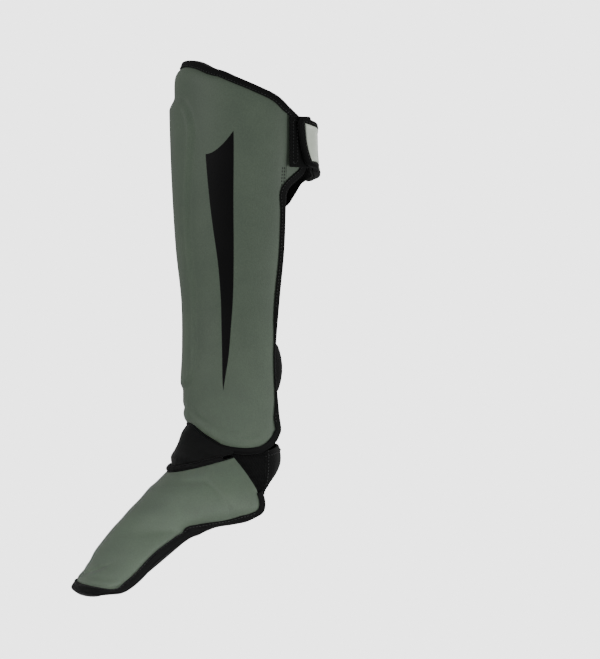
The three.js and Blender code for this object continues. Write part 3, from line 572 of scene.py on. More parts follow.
# %% [markdown]
# The two blades beside the bar are printed on the skin. Each is a film a fifth of a
# millimetre proud that follows the pad, wide at its hooked head and drawn out to a point.
# Its two edges are read from a short table, as angles round the section at each height. It
# could also be a painted mask, but a film keeps a clean edge at any size of picture.

# %% Printed blades
FILM, FILM_UNDER = 0.18, 0.02
BLADE_LOW, BLADE_HOOK, BLADE_TIP = -130.0, 102.0, 124.0
HOOK_CURVE = 0.52
BLADE = table(
    "height near far",
    (-130, 51.5, 51.5),
    (-97, 50.2, 55.2),
    (-65, 48.6, 56.4),
    (-34, 47.3, 57.2),
    (-2, 45.6, 57.5),
    (32, 42.5, 57.6),
    (67, 39.9, 57.7),
    (102, 37.9, 57.7),
    (124, 37.9, 57.7),
)


def blade(hand):
    to_hook = np.linspace(BLADE_LOW + 1, BLADE_HOOK, 90)
    to_tip = np.linspace(BLADE_HOOK, BLADE_TIP - 0.3, 36)[1:]
    heights = np.concatenate([to_hook, to_tip])
    near = read(BLADE, "height", "near", heights)
    far = read(BLADE, "height", "far", heights)
    hook = np.clip((heights - BLADE_HOOK) / (BLADE_TIP - BLADE_HOOK), 0, 1)
    near = mix(near, far, hook ** HOOK_CURVE)
    angle = near[:, None] + (far - near)[:, None] * np.linspace(0, 1, 14)[None, :]
    z = np.broadcast_to(heights[:, None], angle.shape)
    side = angle / 90 * hand
    name = "printed_blade_left" if hand > 0 else "printed_blade_right"
    made = wall(name, shin_skin(side, z, FILM), shin_skin(side, z, FILM_UNDER), [black_film], crease=80)
    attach(made, "root")
    print(made.name)


for hand in (1, -1):
    blade(hand)

# %% [markdown]
# A bound edge is black tape folded over the raw edge and sewn through. Its path runs in the
# pad's own sheet, up one rear edge, round the wing behind the calf, along the top and down
# the other side. Working in the sheet keeps both laps on the pad wherever it curves. The
# ring is the tape's folded section: outer lap, round nose, inner lap. Where the tape turns
# under at the ankle it stands out plump, because it is folded over a thicker seam there.

# %% Folded tape
CLEARANCE, TAPE_WALL = 0.3, 1.5
NOSE_TURNS, NOSE_BLUNT, NOSE_FLAT = 9, 0.7, 0.6
PLUMP, PLUMP_START, PLUMP_RISE, PLUMP_SIDE = 3.6, -150.0, 22.0, 0.45


def nose_ring(reach, high, low):
    nose = []
    for turn in np.linspace(0, math.pi, NOSE_TURNS):
        up = math.cos(turn)
        share = np.sign(up) * abs(up) ** NOSE_FLAT
        nose.append((-reach * math.sin(turn) ** NOSE_BLUNT, (high + low) / 2 + (high - low) / 2 * share))
    return nose


def tape_ring(lap, inner_lap, top, under, plump=0.0):
    out = CLEARANCE + TAPE_WALL
    inside = under + 2 * CLEARANCE
    high, low = top - out, inside + TAPE_WALL
    nose = nose_ring(out + plump, high, low)
    ring = [
        (lap, top - CLEARANCE), (lap + 0.1, top - CLEARANCE - TAPE_WALL * 0.6), (lap - 0.5, high),
        (lap * 0.66, high - 0.12), (lap * 0.33, high - 0.12), *nose,
        (inner_lap * 0.5, low + 0.1), (inner_lap - 0.5, low), (inner_lap, low - TAPE_WALL * 0.4),
        (inner_lap, inside), (-CLEARANCE, inside), (-CLEARANCE, top - CLEARANCE),
    ]
    inward = np.stack([np.broadcast_to(a, lap.shape) for a, _ in ring], axis=1)
    depth = np.stack([np.broadcast_to(b, lap.shape) for _, b in ring], axis=1)
    return inward, depth


def inward_normals(loop):
    step = np.roll(loop, -1, axis=0) - np.roll(loop, 1, axis=0)
    step /= np.linalg.norm(step, axis=1, keepdims=True)
    return np.stack([-step[:, 1], step[:, 0]], axis=1)


def even_steps(columns, path, pitch):
    run = np.concatenate([[0], np.cumsum(np.linalg.norm(np.diff(path, axis=0), axis=1))])
    places = np.linspace(0, run[-1], int(run[-1] / pitch) + 1)
    return [np.interp(places, run, column) for column in columns]


def rounded_path(points, radii, steps=7):
    made = [points[0]]
    for k in range(1, len(points) - 1):
        before, here, after = (np.array(points[i], float) for i in (k - 1, k, k + 1))
        start = here + (before - here) / np.linalg.norm(before - here) * radii[k - 1]
        end = here + (after - here) / np.linalg.norm(after - here) * radii[k - 1]
        for u in np.linspace(0, 1, steps):
            made.append(tuple((1 - u) ** 2 * start + 2 * u * (1 - u) * here + u * u * end))
    made.append(points[-1])
    return np.array(made)


def averaged(values, reach, closed=True):
    kernel = np.ones(2 * reach + 1) / (2 * reach + 1)
    padded = np.pad(values, reach, mode="wrap" if closed else "edge")
    return np.convolve(padded, kernel, mode="valid")


# %% Edge of the shin pad
WING_REACH, WING_WALL = 22.0, 4.0
WING_BOTTOM, WING_TIP_LOW, WING_TIP_HIGH = 68.0, 86.0, 131.0
WING_LAP = 5.6
WING_TOP = float(rim_sink(np.array(1.0)))


def half_edge():
    bottom = np.linspace(0, 1, 80)
    corner = float(bottom_edge(np.array(1.0)))
    rear = np.linspace(corner, WING_BOTTOM - 12, 60)[1:]
    high = float(top_edge(np.array(1.0)))
    wing_line = rounded_path(
        [(0, WING_BOTTOM - 10), (0, WING_BOTTOM), (WING_REACH, WING_TIP_LOW),
         (WING_REACH, WING_TIP_HIGH), (0, high)],
        [9, 7, 7])
    top = np.linspace(1, 0, 80)[1:]
    ones = lambda a: np.ones(len(a))
    side = np.concatenate([bottom, ones(rear), ones(wing_line), top])
    past = np.concatenate([0 * bottom, 0 * rear, wing_line[:, 0], 0 * top])
    z = np.concatenate([bottom_edge(bottom), rear, wing_line[:, 1], top_edge(top)])
    lap = np.concatenate([
        BOTTOM_LAP * ones(bottom), side_lap(rear), WING_LAP * ones(wing_line), TOP_LAP * ones(top)])
    return side, past, z, lap


def shin_edge(pitch):
    side, past, z, lap = half_edge()
    side, past = (np.concatenate([v, -v[-2:0:-1]]) for v in (side, past))
    z, lap = (np.concatenate([v, v[-2:0:-1]]) for v in (z, lap))
    path = np.stack([side * shin_section(z)[3] + past, z], axis=1)
    side, past, z, lap = even_steps((side, past, z, lap), path, pitch)
    return side, past, z, averaged(lap, 4)


side, past, z, lap = shin_edge(2.3)
path = np.stack([side * shin_section(z)[3] + past, z], axis=1)
into = inward_normals(path)
into = np.stack([averaged(into[:, 0], 1), averaged(into[:, 1], 1)], axis=1)
rim_top = rim_sink(np.abs(side))
rim_under = rim_top + mix(RIM_WALL, WING_WALL, smooth(np.abs(past) / 4))


def at_edge(inward, depth):
    level = z[:, None] + into[:, 1:] * inward
    across = side[:, None] * shin_section(level)[3] + past[:, None] + into[:, :1] * inward
    return shin_point(across, level, depth)


plump = PLUMP * smooth((PLUMP_START - z) / PLUMP_RISE) * smooth((np.abs(side) - PLUMP_SIDE) / 0.2)
plump = averaged(plump, 3)
shin_rings = tape_ring(lap, np.full_like(lap, INNER_LAP), rim_top, rim_under, plump)
shin_binding = sweep("folded_edge_tape", at_edge(*shin_rings), [black_tape], closed=True)
keep(shin_binding, "black_binding", "shin_binding")


def seam_on_tape(place, lap, top, inset=1.4, lift=0.2):
    return place((lap - inset)[:, None], (top - CLEARANCE - TAPE_WALL - lift)[:, None])[:, 0]


SEAM_LAP = 3.2
edge_seam = seam_on_tape(at_edge, lap, rim_top)
shows_seam = lap > SEAM_LAP


# %% [markdown]
# Behind the calf the pad carries a thin wing on each side, cut from the same leather and
# bound by the same tape. The wings lean in toward the calf, and the upper strap is sewn to
# them. They are plain walls in the same sheet, past its rear edge.

# %% Wings
WING_MARGIN, WING_CROWN = 0.4, 0.5


def wing(name, hand, node):
    up = np.linspace(0, 1, 40)[:, None]
    back = np.linspace(0, 1, 12)[None, :]
    low = mix(WING_BOTTOM, WING_TIP_LOW, back) + WING_MARGIN
    high = mix(float(top_edge(np.array(1.0))), WING_TIP_HIGH, back) - WING_MARGIN
    z = mix(low, high, up)
    past = mix(CLEARANCE, WING_REACH - WING_MARGIN, back)
    across = (shin_section(z)[3] + past) * hand
    crown = WING_CROWN * np.sin(math.pi * up) * np.sin(math.pi * back)
    outer = shin_point(across, z, WING_TOP - crown)
    inner = shin_point(across, z, WING_TOP + WING_WALL)
    made = wall(name, outer, inner, [green_leather, lining_cloth])
    keep(made, "green_leather", node)


for hand, word in ((1, "left"), (-1, "right")):
    wing("leather_wing_" + word, hand, "wing_" + word)

# %% [markdown]
# Straps are elastic webbing under light tension, so they are modelled directly: a flat
# section with soft edges swept along a smooth way. A place on a strap is given by its
# length along, its height across and how far it stands out, and the closing tab, its bound
# edge, its patch and the stitches are all laid with that one function.

# %% Strap maker
def smooth_way(points, pitch):
    points = np.array(points, float)
    chord = np.concatenate([[0], np.cumsum(np.linalg.norm(np.diff(points, axis=0), axis=1))])
    rows = {"run": chord, "x": points[:, 0], "y": points[:, 1], "z": points[:, 2]}
    fine = np.linspace(0, chord[-1], 1200)
    line = np.stack([read(rows, "run", axis, fine) for axis in "xyz"], axis=1)
    run = np.concatenate([[0], np.cumsum(np.linalg.norm(np.diff(line, axis=0), axis=1))])
    places = np.linspace(0, run[-1], int(run[-1] / pitch) + 1)
    return places, np.stack([np.interp(places, run, line[:, k]) for k in range(3)], axis=1)


class Strap:
    def __init__(self, points, up=(0, 0, 1), lean=0.0, pitch=1.5):
        self.run, self.line = smooth_way(points, pitch)
        self.length = self.run[-1]
        up = np.array(up, float)
        along = np.gradient(self.line, axis=0)
        along -= (along @ up)[:, None] * up
        along /= np.linalg.norm(along, axis=1, keepdims=True)
        level = np.cross(along, up)
        share = np.clip((self.run / self.length - 0.1) / 0.8, 0, 1)
        tilt = math.radians(lean) * np.sin(math.pi * share)[:, None]
        self.out = level * np.cos(tilt) + up * np.sin(tilt)
        self.up = up * np.cos(tilt) - level * np.sin(tilt)

    def at(self, run, lift, out):
        run, lift, out = np.broadcast_arrays(run, lift, out)
        spot = lambda table: np.stack([np.interp(run, self.run, table[:, k]) for k in range(3)], axis=-1)
        return spot(self.line) + spot(self.up) * lift[..., None] + spot(self.out) * out[..., None]


def strap_ring(height, thick, crown=0.0):
    half = height / 2
    lifts = np.array([1, 0.97, 0.9, 0.7, 0.45, 0.15, -0.15, -0.45, -0.7, -0.9, -0.97, -1]) * half
    edge = np.array([0.3, 0.1, 0, 0, 0, 0, 0, 0, 0, 0, 0.1, 0.3]) * thick
    curl = crown * (lifts / half) ** 2
    outer, inner = -curl - edge, -curl - thick + edge
    return np.concatenate([lifts, lifts[::-1]]), np.concatenate([outer, inner[::-1]])


def strap_mesh(name, strap, height, thick, crown=0.0, ripple=0.0):
    lift, out = strap_ring(height, thick, crown)
    run = strap.run[:, None]
    wave = ripple * np.sin(run / 17.0 + lift[None, :] / 23.0) * np.sin(math.pi * run / strap.length)
    return sweep(name, strap.at(run, lift[None, :], out[None, :] + wave), [black_elastic], crease=60)


# %% Upper strap
STRAP_WALL, CALF_STRAP_WIDTH, CALF_STRAP_LEVEL = 2.4, 50.0, 114.0
CALF_STRAP_BEHIND, CALF_STRAP_LEAN, FAR_SAG = 36.0, 8.0, 30.0
TAPE_OUT = TAPE_WALL + 2 * CLEARANCE
ON_WING = (0.12, 0.7, 1.2)
CALF_WAY = (
    (0.8, 0.76, 0.1), (0.58, 0.9, 0.18), (0.3, 0.978, 0.22), (0, 1, 0.24),
    (-0.3, 0.99, 0.34), (-0.58, 0.97, 0.66), (-0.8, 0.88, 1),
)


def strap_on_wing(back, hand, level):
    high = np.array(level + CALF_STRAP_WIDTH / 2)
    across = (shin_section(high)[3] + WING_REACH * back) * hand
    point = shin_point(across, high, WING_TOP - TAPE_OUT - STRAP_WALL)
    return point[0], point[1], level


rear = float(shin_section(np.array(CALF_STRAP_LEVEL))[2])
near_wing = [strap_on_wing(back, 1, CALF_STRAP_LEVEL) for back in ON_WING]
far_wing = [strap_on_wing(back, -1, CALF_STRAP_LEVEL - FAR_SAG) for back in reversed(ON_WING)]
free = [(CALF_HALF * across, rear + CALF_STRAP_BEHIND * behind, CALF_STRAP_LEVEL - FAR_SAG * sag)
        for across, behind, sag in CALF_WAY]
calf_strap = Strap([*near_wing, *free, *far_wing], lean=CALF_STRAP_LEAN)
upper_strap = strap_mesh("elastic_upper_strap", calf_strap, CALF_STRAP_WIDTH, STRAP_WALL)
keep(upper_strap, "black_elastic", "upper_strap")
print("upper strap", round(calf_strap.length), "mm long")

# %% [markdown]
# The strap closes with a tab of hook-and-loop: a stiff end with its own bound edge and a
# pale moulded patch. The patch is left bare, with a raised border as such patches have. The
# tab was pressed on by hand, so its near end lies a little aslant on the strap, and its
# upper edge falls away towards the calf.

# %% Closing tab
TAB_OFFSET, TAB_LENGTH, TAB_WALL, TAB_HEIGHT, TAB_DROP = 9.0, 92.0, 2.6, 49.5, 0.5
TAB_LAP, LABEL_WALL, LABEL_MARGIN = 3.4, 1.0, 0.4
TAB_SLANT, TAB_SLOPE, TAB_TAPER = 10.0, 1.0, 7.5
SLOPE_RUN, TAPER_RUN = 40.0, 28.0
TAB_CORNER, PATCH_BORDER = 5.0, 2.2
TAB_OUT = 3 * CLEARANCE + TAPE_WALL + TAB_WALL
TAB_CORE = TAB_HEIGHT - 2 * TAPE_OUT


def on_tab(run, lift, depth):
    slant = TAB_SLANT * np.clip(0.5 - lift / TAB_HEIGHT, 0, 1.1) ** 2 * (1 - smooth(run / TAB_LENGTH))
    taper = TAB_TAPER * smooth(run / TAPER_RUN) * np.clip(0.5 + lift / TAB_HEIGHT, 0, 1)
    slope = TAB_SLOPE * smooth(run / SLOPE_RUN) + taper
    return calf_strap.at(TAB_OFFSET + run + slant, lift - TAB_DROP - slope, TAB_OUT - depth)


def tab_plate(name, inset, low, high, materials, border=0.0, rows=18, columns=60):
    run = np.linspace(inset, TAB_LENGTH - inset, columns)[:, None]
    lift = np.linspace(-1, 1, rows)[None, :] * (TAB_CORE / 2 - inset)
    from_end = np.minimum(run - inset, TAB_LENGTH - inset - run)
    from_edge = np.minimum(from_end, TAB_CORE / 2 - inset - np.abs(lift))
    rounded = 0.5 * (1 - smooth(from_edge / 0.8))
    raised = border * (1 - smooth((from_edge - PATCH_BORDER) / 1.2)) - rounded
    return wall(name, on_tab(run, lift, high - raised), on_tab(run, lift, low), materials, crease=60)


strap_tab = tab_plate("hook_and_loop_tab", 0.0, TAB_WALL, 0.0, [black_elastic])
keep(strap_tab, "black_elastic", "strap_tab")

tab_half = TAB_CORE / 2
loop = rounded_path([
    (TAB_LENGTH / 2, -tab_half), (TAB_LENGTH, -tab_half), (TAB_LENGTH, tab_half),
    (0, tab_half), (0, -tab_half), (TAB_LENGTH / 2 - 1, -tab_half),
], [TAB_CORNER] * 4)
tab_run, tab_lift = even_steps(loop.T, loop, 1.6)
tab_into = inward_normals(np.stack([tab_run, tab_lift], axis=1))


def at_tab_edge(inward, depth):
    run = tab_run[:, None] + tab_into[:, :1] * inward
    lift = tab_lift[:, None] + tab_into[:, 1:] * inward
    return on_tab(run, lift, depth)


even_lap = np.full_like(tab_run, TAB_LAP)
tab_rings = at_tab_edge(*tape_ring(even_lap, even_lap, 0 * even_lap, 0 * even_lap + TAB_WALL))
tab_binding = sweep("folded_tab_tape", tab_rings, [black_tape], closed=True)
keep(tab_binding, "black_binding", "tab_binding")
tab_seam = seam_on_tape(at_tab_edge, even_lap, 0 * even_lap, inset=1.2, lift=0.1)

# %% [markdown]
# The patch is moulded soft plastic: even, pale and half matt, with a faint mottle from the
# mould. Noise in Object coordinates is enough, because the patch is small.

# %% Moulded patch
pale_patch, tree = new_material("pale_moulded_soft_plastic")
at = add(tree, "ShaderNodeTexCoord").outputs["Object"]
mottle = add(tree, "ShaderNodeTexNoise", {"Vector": at, "Scale": 1000 / 9.0, "Detail": 3.0})
tone = add(tree, "ShaderNodeValToRGB", {"Fac": mottle.outputs["Fac"]})
tone.color_ramp.elements[0].color = linear("#ccd6c7")
tone.color_ramp.elements[1].color = linear("#e2eadc")
bump = add(tree, "ShaderNodeBump", {
    "Height": mottle.outputs["Fac"], "Strength": 0.2, "Distance": 0.0004})
plastic = add(tree, "ShaderNodeBsdfPrincipled", {
    "Base Color": tone.outputs[0], "Normal": bump.outputs[0],
    "Roughness": 0.42, "Specular IOR Level": 0.5})
add(tree, "ShaderNodeOutputMaterial", {"Surface": plastic.outputs[0]})

LABEL_INSET = TAB_LAP + CLEARANCE + LABEL_MARGIN
tab_label = tab_plate("moulded_patch", LABEL_INSET, -CLEARANCE, -CLEARANCE - LABEL_WALL, [pale_patch],
                      border=0.5, rows=40, columns=80)
keep(tab_label, "pale_patch", "tab_label")

# %% [markdown]
# The lower strap is a soft elastic band. It is sewn inside the rear edges and goes round the
# lower calf, and its edges curl in, so that from the side it shows as a low round bulge.

# %% Lower strap
LOWER_WIDTH, LOWER_LEVEL, LOWER_BEHIND, LOWER_CROWN = 48.0, -108.0, 17.0, 5.0
LOWER_GRIP = 7.3
LOWER_WAY = ((0.98, 0.2), (0.78, 0.72), (0.42, 0.94), (0, 1))


def lower_points():
    rear = float(shin_section(np.array(LOWER_LEVEL))[2])
    levels = LOWER_LEVEL + np.array([-0.5, 0, 0.5]) * LOWER_WIDTH
    edge = shin_section(levels)[0].min() - WING_TOP - RIM_WALL - 3 * CLEARANCE - TAPE_WALL
    gripped = [(1, rear - LOWER_GRIP), (1, rear - LOWER_GRIP / 2)]
    free = [(share, rear + LOWER_BEHIND * behind) for share, behind in LOWER_WAY]
    left = [(edge * share, y, LOWER_LEVEL) for share, y in gripped + free]
    return left + [(-x, y, z) for x, y, z in left[-2::-1]]


shin_strap = Strap(lower_points())
lower_strap = strap_mesh("elastic_lower_strap", shin_strap, LOWER_WIDTH, STRAP_WALL,
                         LOWER_CROWN, ripple=0.4)
keep(lower_strap, "black_elastic", "lower_strap")
print("lower strap", round(shin_strap.length), "mm long")

# %% [markdown]
# The foot pad is moulded like the shin pad, but over the instep: half-elliptic ribs run from
# the ankle down to the toe, open under the sole. The skin carries low relief, as pressed
# foam does: a raised instep, a line inside the ankle edge and another inside the toe, and a
# V-shaped crease where the toes bend. All of it is height added to one skin.

# %% Foot pad form
ANKLE_GAP, FOOT_DROP, TOE_REACH, FOOT_HALF = 8.0, 127.0, 130.5, 69.0
FOOT_WALL, FOOT_RIM = 10.0, 6.0
FOOT_TOP = SHIN_DROP + ANKLE_GAP
FOOT_SINK = (FOOT_WALL - FOOT_RIM) * 0.6
FOOT_SHOULDER = 9.0
TOE_ROUND, TOE_SPAN, TOE_CORNER, TOE_TURN = 0.055, 103.0, 0.93, 0.035
GUSSET_END, TAPE_START = 0.167, 0.155
INSTEP_RISE, TOE_FOLD_DEEP = 0.9, 2.4
ANKLE_LINE_DEEP, TOE_LINE_DEEP, TOE_LINE_INSET = 1.1, 0.9, 15.0

RIBS = table(
    "along ridge_out ridge_fall edge_out edge_fall half",
    (0, 0.268, 0.13, -0.165, 0, 0.71),
    (0.083, 0.337, 0.197, -0.253, 0.134, 0.855),
    (0.167, 0.406, 0.264, -0.326, 0.283, 0.97),
    (0.25, 0.471, 0.339, -0.326, 0.402, 0.985),
    (0.333, 0.548, 0.415, -0.238, 0.477, 0.913),
    (0.417, 0.62, 0.495, -0.134, 0.511, 0.826),
    (0.5, 0.69, 0.57, 0, 0.536, 0.754),
    (0.583, 0.755, 0.652, 0.146, 0.571, 0.754),
    (0.667, 0.818, 0.738, 0.295, 0.665, 0.775),
    (0.75, 0.858, 0.815, 0.429, 0.764, 0.79),
    (0.833, 0.912, 0.882, 0.563, 0.9, 0.812),
    (0.917, 0.966, 0.953, 0.682, 0.99, 0.826),
    (1, 1, 1, 0.743, 1.03, 0.76),
)
FOOT_LAP = table("along lap", (0.15, 0.9), (0.24, 1.4), (0.3, 4.5), (0.36, 7.6), (0.6, 7.6), (1, 6.8))


def rib_end(name, along):
    out = TOE_REACH * read(RIBS, "along", name + "_out", along)
    fall = FOOT_DROP * read(RIBS, "along", name + "_fall", along)
    return np.stack([-out, -FOOT_TOP - fall], axis=-1)


def foot_rib(along):
    half = FOOT_HALF * read(RIBS, "along", "half", along)
    return rib_end("ridge", along), rib_end("edge", along), half


def foot_point(along, side, depth):
    along, side, depth = np.broadcast_arrays(along, side, depth)
    ridge, edge, half = foot_rib(along)
    turn = math.pi / 2 * side
    reach = np.linalg.norm(ridge - edge, axis=-1)
    lift = (1 - depth / reach) * np.cos(turn)
    down = edge + (ridge - edge) * lift[..., None]
    return np.stack([(half - depth) * np.sin(turn), down[..., 0], down[..., 1]], axis=-1)


def toe_end(side):
    return 1 - TOE_ROUND * np.abs(side) ** 6


def foot_edge(pitch):
    down = np.linspace(TAPE_START, toe_end(1.0) - TOE_TURN, 90)
    across = np.linspace(TOE_CORNER, -TOE_CORNER, 120)
    turn = np.linspace(0, 1, 9)[1:-1, None]
    start = np.array([1.0, down[-1]])
    corner = np.array([1.0, toe_end(1.0)])
    end = np.array([TOE_CORNER, toe_end(TOE_CORNER)])
    bend = (1 - turn) ** 2 * start + 2 * turn * (1 - turn) * corner + turn ** 2 * end
    left = np.concatenate([np.stack([0 * down + 1, down], axis=1), bend])
    toe = np.stack([-across, toe_end(across)], axis=1)
    line = np.concatenate([left * (-1, 1), toe, left[::-1]])
    return even_steps(line.T, foot_point(line[:, 1], line[:, 0], 0.0), pitch)


EDGE_SIDE, EDGE_ALONG = foot_edge(2.0)
EDGE_LAP = read(FOOT_LAP, "along", "lap", EDGE_ALONG)
EDGE_LINE = foot_point(EDGE_ALONG, EDGE_SIDE, 0.0)
EDGE_TREE = KDTree(len(EDGE_LINE))
for number, spot in enumerate(EDGE_LINE):
    EDGE_TREE.insert(spot, number)
EDGE_TREE.balance()
print("foot pad's edge in", len(EDGE_LINE), "steps")


def foot_depths(along, side):
    along, side = np.broadcast_arrays(along, side)
    skin = foot_point(along, side, 0.0)
    nearest = [EDGE_TREE.find(spot) for spot in skin.reshape(-1, 3)]
    away = np.array([distance - EDGE_LAP[index] for _, index, distance in nearest]).reshape(along.shape)
    u = np.clip((away - PAST_LAP) / FOOT_SHOULDER, 0, 1)
    press = 1 - np.sqrt(1 - (1 - u) ** 2)
    return FOOT_SINK * press, FOOT_WALL - (FOOT_WALL - FOOT_RIM - FOOT_SINK) * press


def foot_relief(along, side):
    far = np.abs(side)
    on_instep = smooth((along - 0.1) / 0.05) * smooth((0.84 - along) / 0.14) * smooth((0.66 - far) / 0.3)
    crease = 0.868 - 0.24 * far
    toe_fold = np.exp(-((along - crease) / 0.02) ** 2) * smooth((0.52 - far) / 0.2)
    line = 0.085 + 0.2 * smooth((far - 0.62) / 0.26)
    ankle_line = np.exp(-((along - line) / 0.022) ** 2)
    ankle_line = ankle_line * smooth((0.9 - far) / 0.1) * smooth((far - 0.3) / 0.2)
    from_toe = (toe_end(side) - along) * TOE_SPAN
    toe_line = np.exp(-(from_toe - TOE_LINE_INSET) ** 2 / 8) * smooth((0.8 - far) / 0.2)
    pressed_in = TOE_FOLD_DEEP * toe_fold + ANKLE_LINE_DEEP * ankle_line + TOE_LINE_DEEP * toe_line
    return INSTEP_RISE * on_instep - pressed_in


# %% Foot pad mesh
GATHER = math.pi / 2 * 0.86
rows = np.linspace(0, 1, 150)[:, None]
sides = np.sin(np.linspace(-1, 1, 141) * GATHER) / math.sin(GATHER)
sides = np.broadcast_to(sides[None, :], (150, 141))
alongs = rows - (1 - toe_end(sides)) * smooth((rows - 0.5) / 0.5)
outer_depth, inner_depth = foot_depths(alongs, sides)
foot_pad = wall("moulded_foot_pad", foot_point(alongs, sides, outer_depth - foot_relief(alongs, sides)),
                foot_point(alongs, sides, inner_depth), [green_leather, lining_cloth], crease=70)
keep(foot_pad, "green_leather", "foot_pad")

# %% [markdown]
# The foot pad's tape is the same folded tape. It starts narrow at the ankle corner, runs
# wide along the sole and goes round the toe. The ribs meet the sole's edge at a slant, so
# its laps are laid square to the edge and then brought onto the skin by nearest point.

# %% Foot binding
skin_points = foot_point(alongs, sides, 0.0).reshape(-1, 3)
skin_faces = squares(np.arange(alongs.size).reshape(alongs.shape))
SKIN_TREE = BVHTree.FromPolygons(skin_points.tolist(), skin_faces.tolist())

edge_way = np.gradient(EDGE_LINE, axis=0)
edge_way /= np.linalg.norm(edge_way, axis=1, keepdims=True)
inner_line = foot_point(EDGE_ALONG - 0.01, EDGE_SIDE * 0.97, 0.0)
edge_out = np.cross(edge_way, inner_line - EDGE_LINE)
edge_out /= np.linalg.norm(edge_out, axis=1, keepdims=True)
edge_out = np.stack([averaged(edge_out[:, k], 3, closed=False) for k in range(3)], axis=1)
to_skin = EDGE_LINE - foot_point(EDGE_ALONG, EDGE_SIDE, 5.0)
edge_out *= np.sign(np.sum(edge_out * to_skin, axis=1))[:, None]
edge_in = np.cross(edge_out, edge_way)
edge_in *= np.sign(np.sum(edge_in * (inner_line - EDGE_LINE)))


def at_foot_edge(inward, depth):
    inward, depth = np.broadcast_arrays(inward, depth)
    flat = EDGE_LINE[:, None] + edge_in[:, None] * inward[..., None]
    made = flat - edge_out[:, None] * depth[..., None]
    for place in zip(*np.nonzero(inward > 0.5)):
        spot, normal = SKIN_TREE.find_nearest(flat[place])[:2]
        normal = np.array(normal) * np.sign(np.dot(normal, edge_out[place[0]]))
        made[place] = np.array(spot) - normal * depth[place]
    return made


FOOT_INNER_LAP, FOOT_SEAM_LAP, HEEL_PLUMP = 6.5, 3.0, 1.8
foot_top = np.full_like(EDGE_LAP, FOOT_SINK)
side_plump = mix(0.9, 2.0, smooth((0.5 - EDGE_ALONG) / 0.1))
foot_plump = side_plump + HEEL_PLUMP * smooth((0.3 - EDGE_ALONG) / 0.06)
inner_lap = np.full_like(EDGE_LAP, FOOT_INNER_LAP)
foot_rings = tape_ring(EDGE_LAP, inner_lap, foot_top, foot_top + FOOT_RIM, foot_plump)
foot_binding = sweep("folded_foot_tape", at_foot_edge(*foot_rings), [black_tape])
keep(foot_binding, "black_binding", "foot_binding")
foot_seam = seam_on_tape(at_foot_edge, EDGE_LAP, foot_top)[EDGE_LAP > FOOT_SEAM_LAP]

# %% [markdown]
# The padded tongue over the ankle is two layers of knitted cloth with soft foam between.
# It is dull, deep black with a little sheen on its folds. Small cells stand for the knit, a
# little coarser than real loops so that they show. They are laid in Object coordinates,
# since the cloth is remeshed below and keeps no map of its own.

# %% Knitted cloth
KNIT = 1.1
black_knit, tree = new_material("black_knitted_cloth")
at = add(tree, "ShaderNodeTexCoord").outputs["Object"]
loops = add(tree, "ShaderNodeTexVoronoi", {"Vector": at, "Scale": 1000 / KNIT})
fuzz = add(tree, "ShaderNodeTexNoise", {"Vector": at, "Scale": 1000 / 14.0, "Detail": 4.0})
tone = add(tree, "ShaderNodeValToRGB", {"Fac": fuzz.outputs["Fac"]})
tone.color_ramp.elements[0].color = linear("#060707")
tone.color_ramp.elements[1].color = linear("#121313")
bump = add(tree, "ShaderNodeBump", {
    "Height": loops.outputs["Distance"], "Strength": 0.35, "Distance": 0.0003})
cloth = add(tree, "ShaderNodeBsdfPrincipled", {
    "Base Color": tone.outputs[0], "Normal": bump.outputs[0], "Roughness": 0.85,
    "Specular IOR Level": 0.2, "Sheen Weight": 0.15, "Sheen Roughness": 0.4})
add(tree, "ShaderNodeOutputMaterial", {"Surface": cloth.outputs[0]})
print(black_knit.name)

# %% [markdown]
# The tongue's rolled edge is a cord covered with tape, which lies on the top of the foot
# pad. It is a round bar swept along that edge, with a slight unevenness from the hand that
# sewed it.

# %% Piping
PIPING_RADIUS, PIPING_SIDE, PIPING_PRESS = 3.2, 0.88, 0.9
PIPING_LIFT = PIPING_RADIUS - PIPING_PRESS
PIPING_SINK = PIPING_RADIUS * 0.8
LIP_TURN, LIP_LIFT = 0.9, 0.1


def piping_centre(side):
    top = np.zeros_like(side)
    depth = foot_depths(top, side)[0] + PIPING_SINK
    return foot_point(top, side, depth) + np.array([0, 0, PIPING_LIFT])


piping_side = np.linspace(-PIPING_SIDE, PIPING_SIDE, 110)
centre = piping_centre(piping_side)
along = np.gradient(centre, axis=0)
along /= np.linalg.norm(along, axis=1, keepdims=True)
up = np.array([0, 0, 1.0]) - along * along[:, 2:]
up /= np.linalg.norm(up, axis=1, keepdims=True)
out = np.cross(along, up)
ring_turn = np.linspace(0, 2 * math.pi, 16, endpoint=False)
swell = PIPING_RADIUS * (1 + 0.05 * np.sin(piping_side * 40) + 0.03 * np.sin(piping_side * 97))
end_round = np.sqrt(np.clip((PIPING_SIDE - np.abs(piping_side)) / 0.03, 0.04, 1))
radius = (swell * end_round)[:, None, None]
across = np.cos(ring_turn)[None, :, None]
around = np.sin(ring_turn)[None, :, None]
rings = centre[:, None] + radius * (up[:, None] * across + out[:, None] * around)
flap_piping = sweep("rolled_tongue_edge", rings, [black_tape])
keep(flap_piping, "black_binding", "flap_piping")
lip = centre + (PIPING_RADIUS + LIP_LIFT) * (up * math.cos(LIP_TURN) - out * math.sin(LIP_TURN))
lip_seam = lip[6:-6]

# %% [markdown]
# The tongue itself hangs from the shin pad's bottom edge down to that roll and folds where
# the ankle bends. It starts as a thin folded wall. Blender's cloth then blows it up a little
# between its pinned edges, which gives the soft folds of a padded sheet. No point may move
# further than a cap, so that it keeps to its place. Its two long edges are tucked a little
# into the tape above and the roll below, as sewing leaves them, so no light shows between.

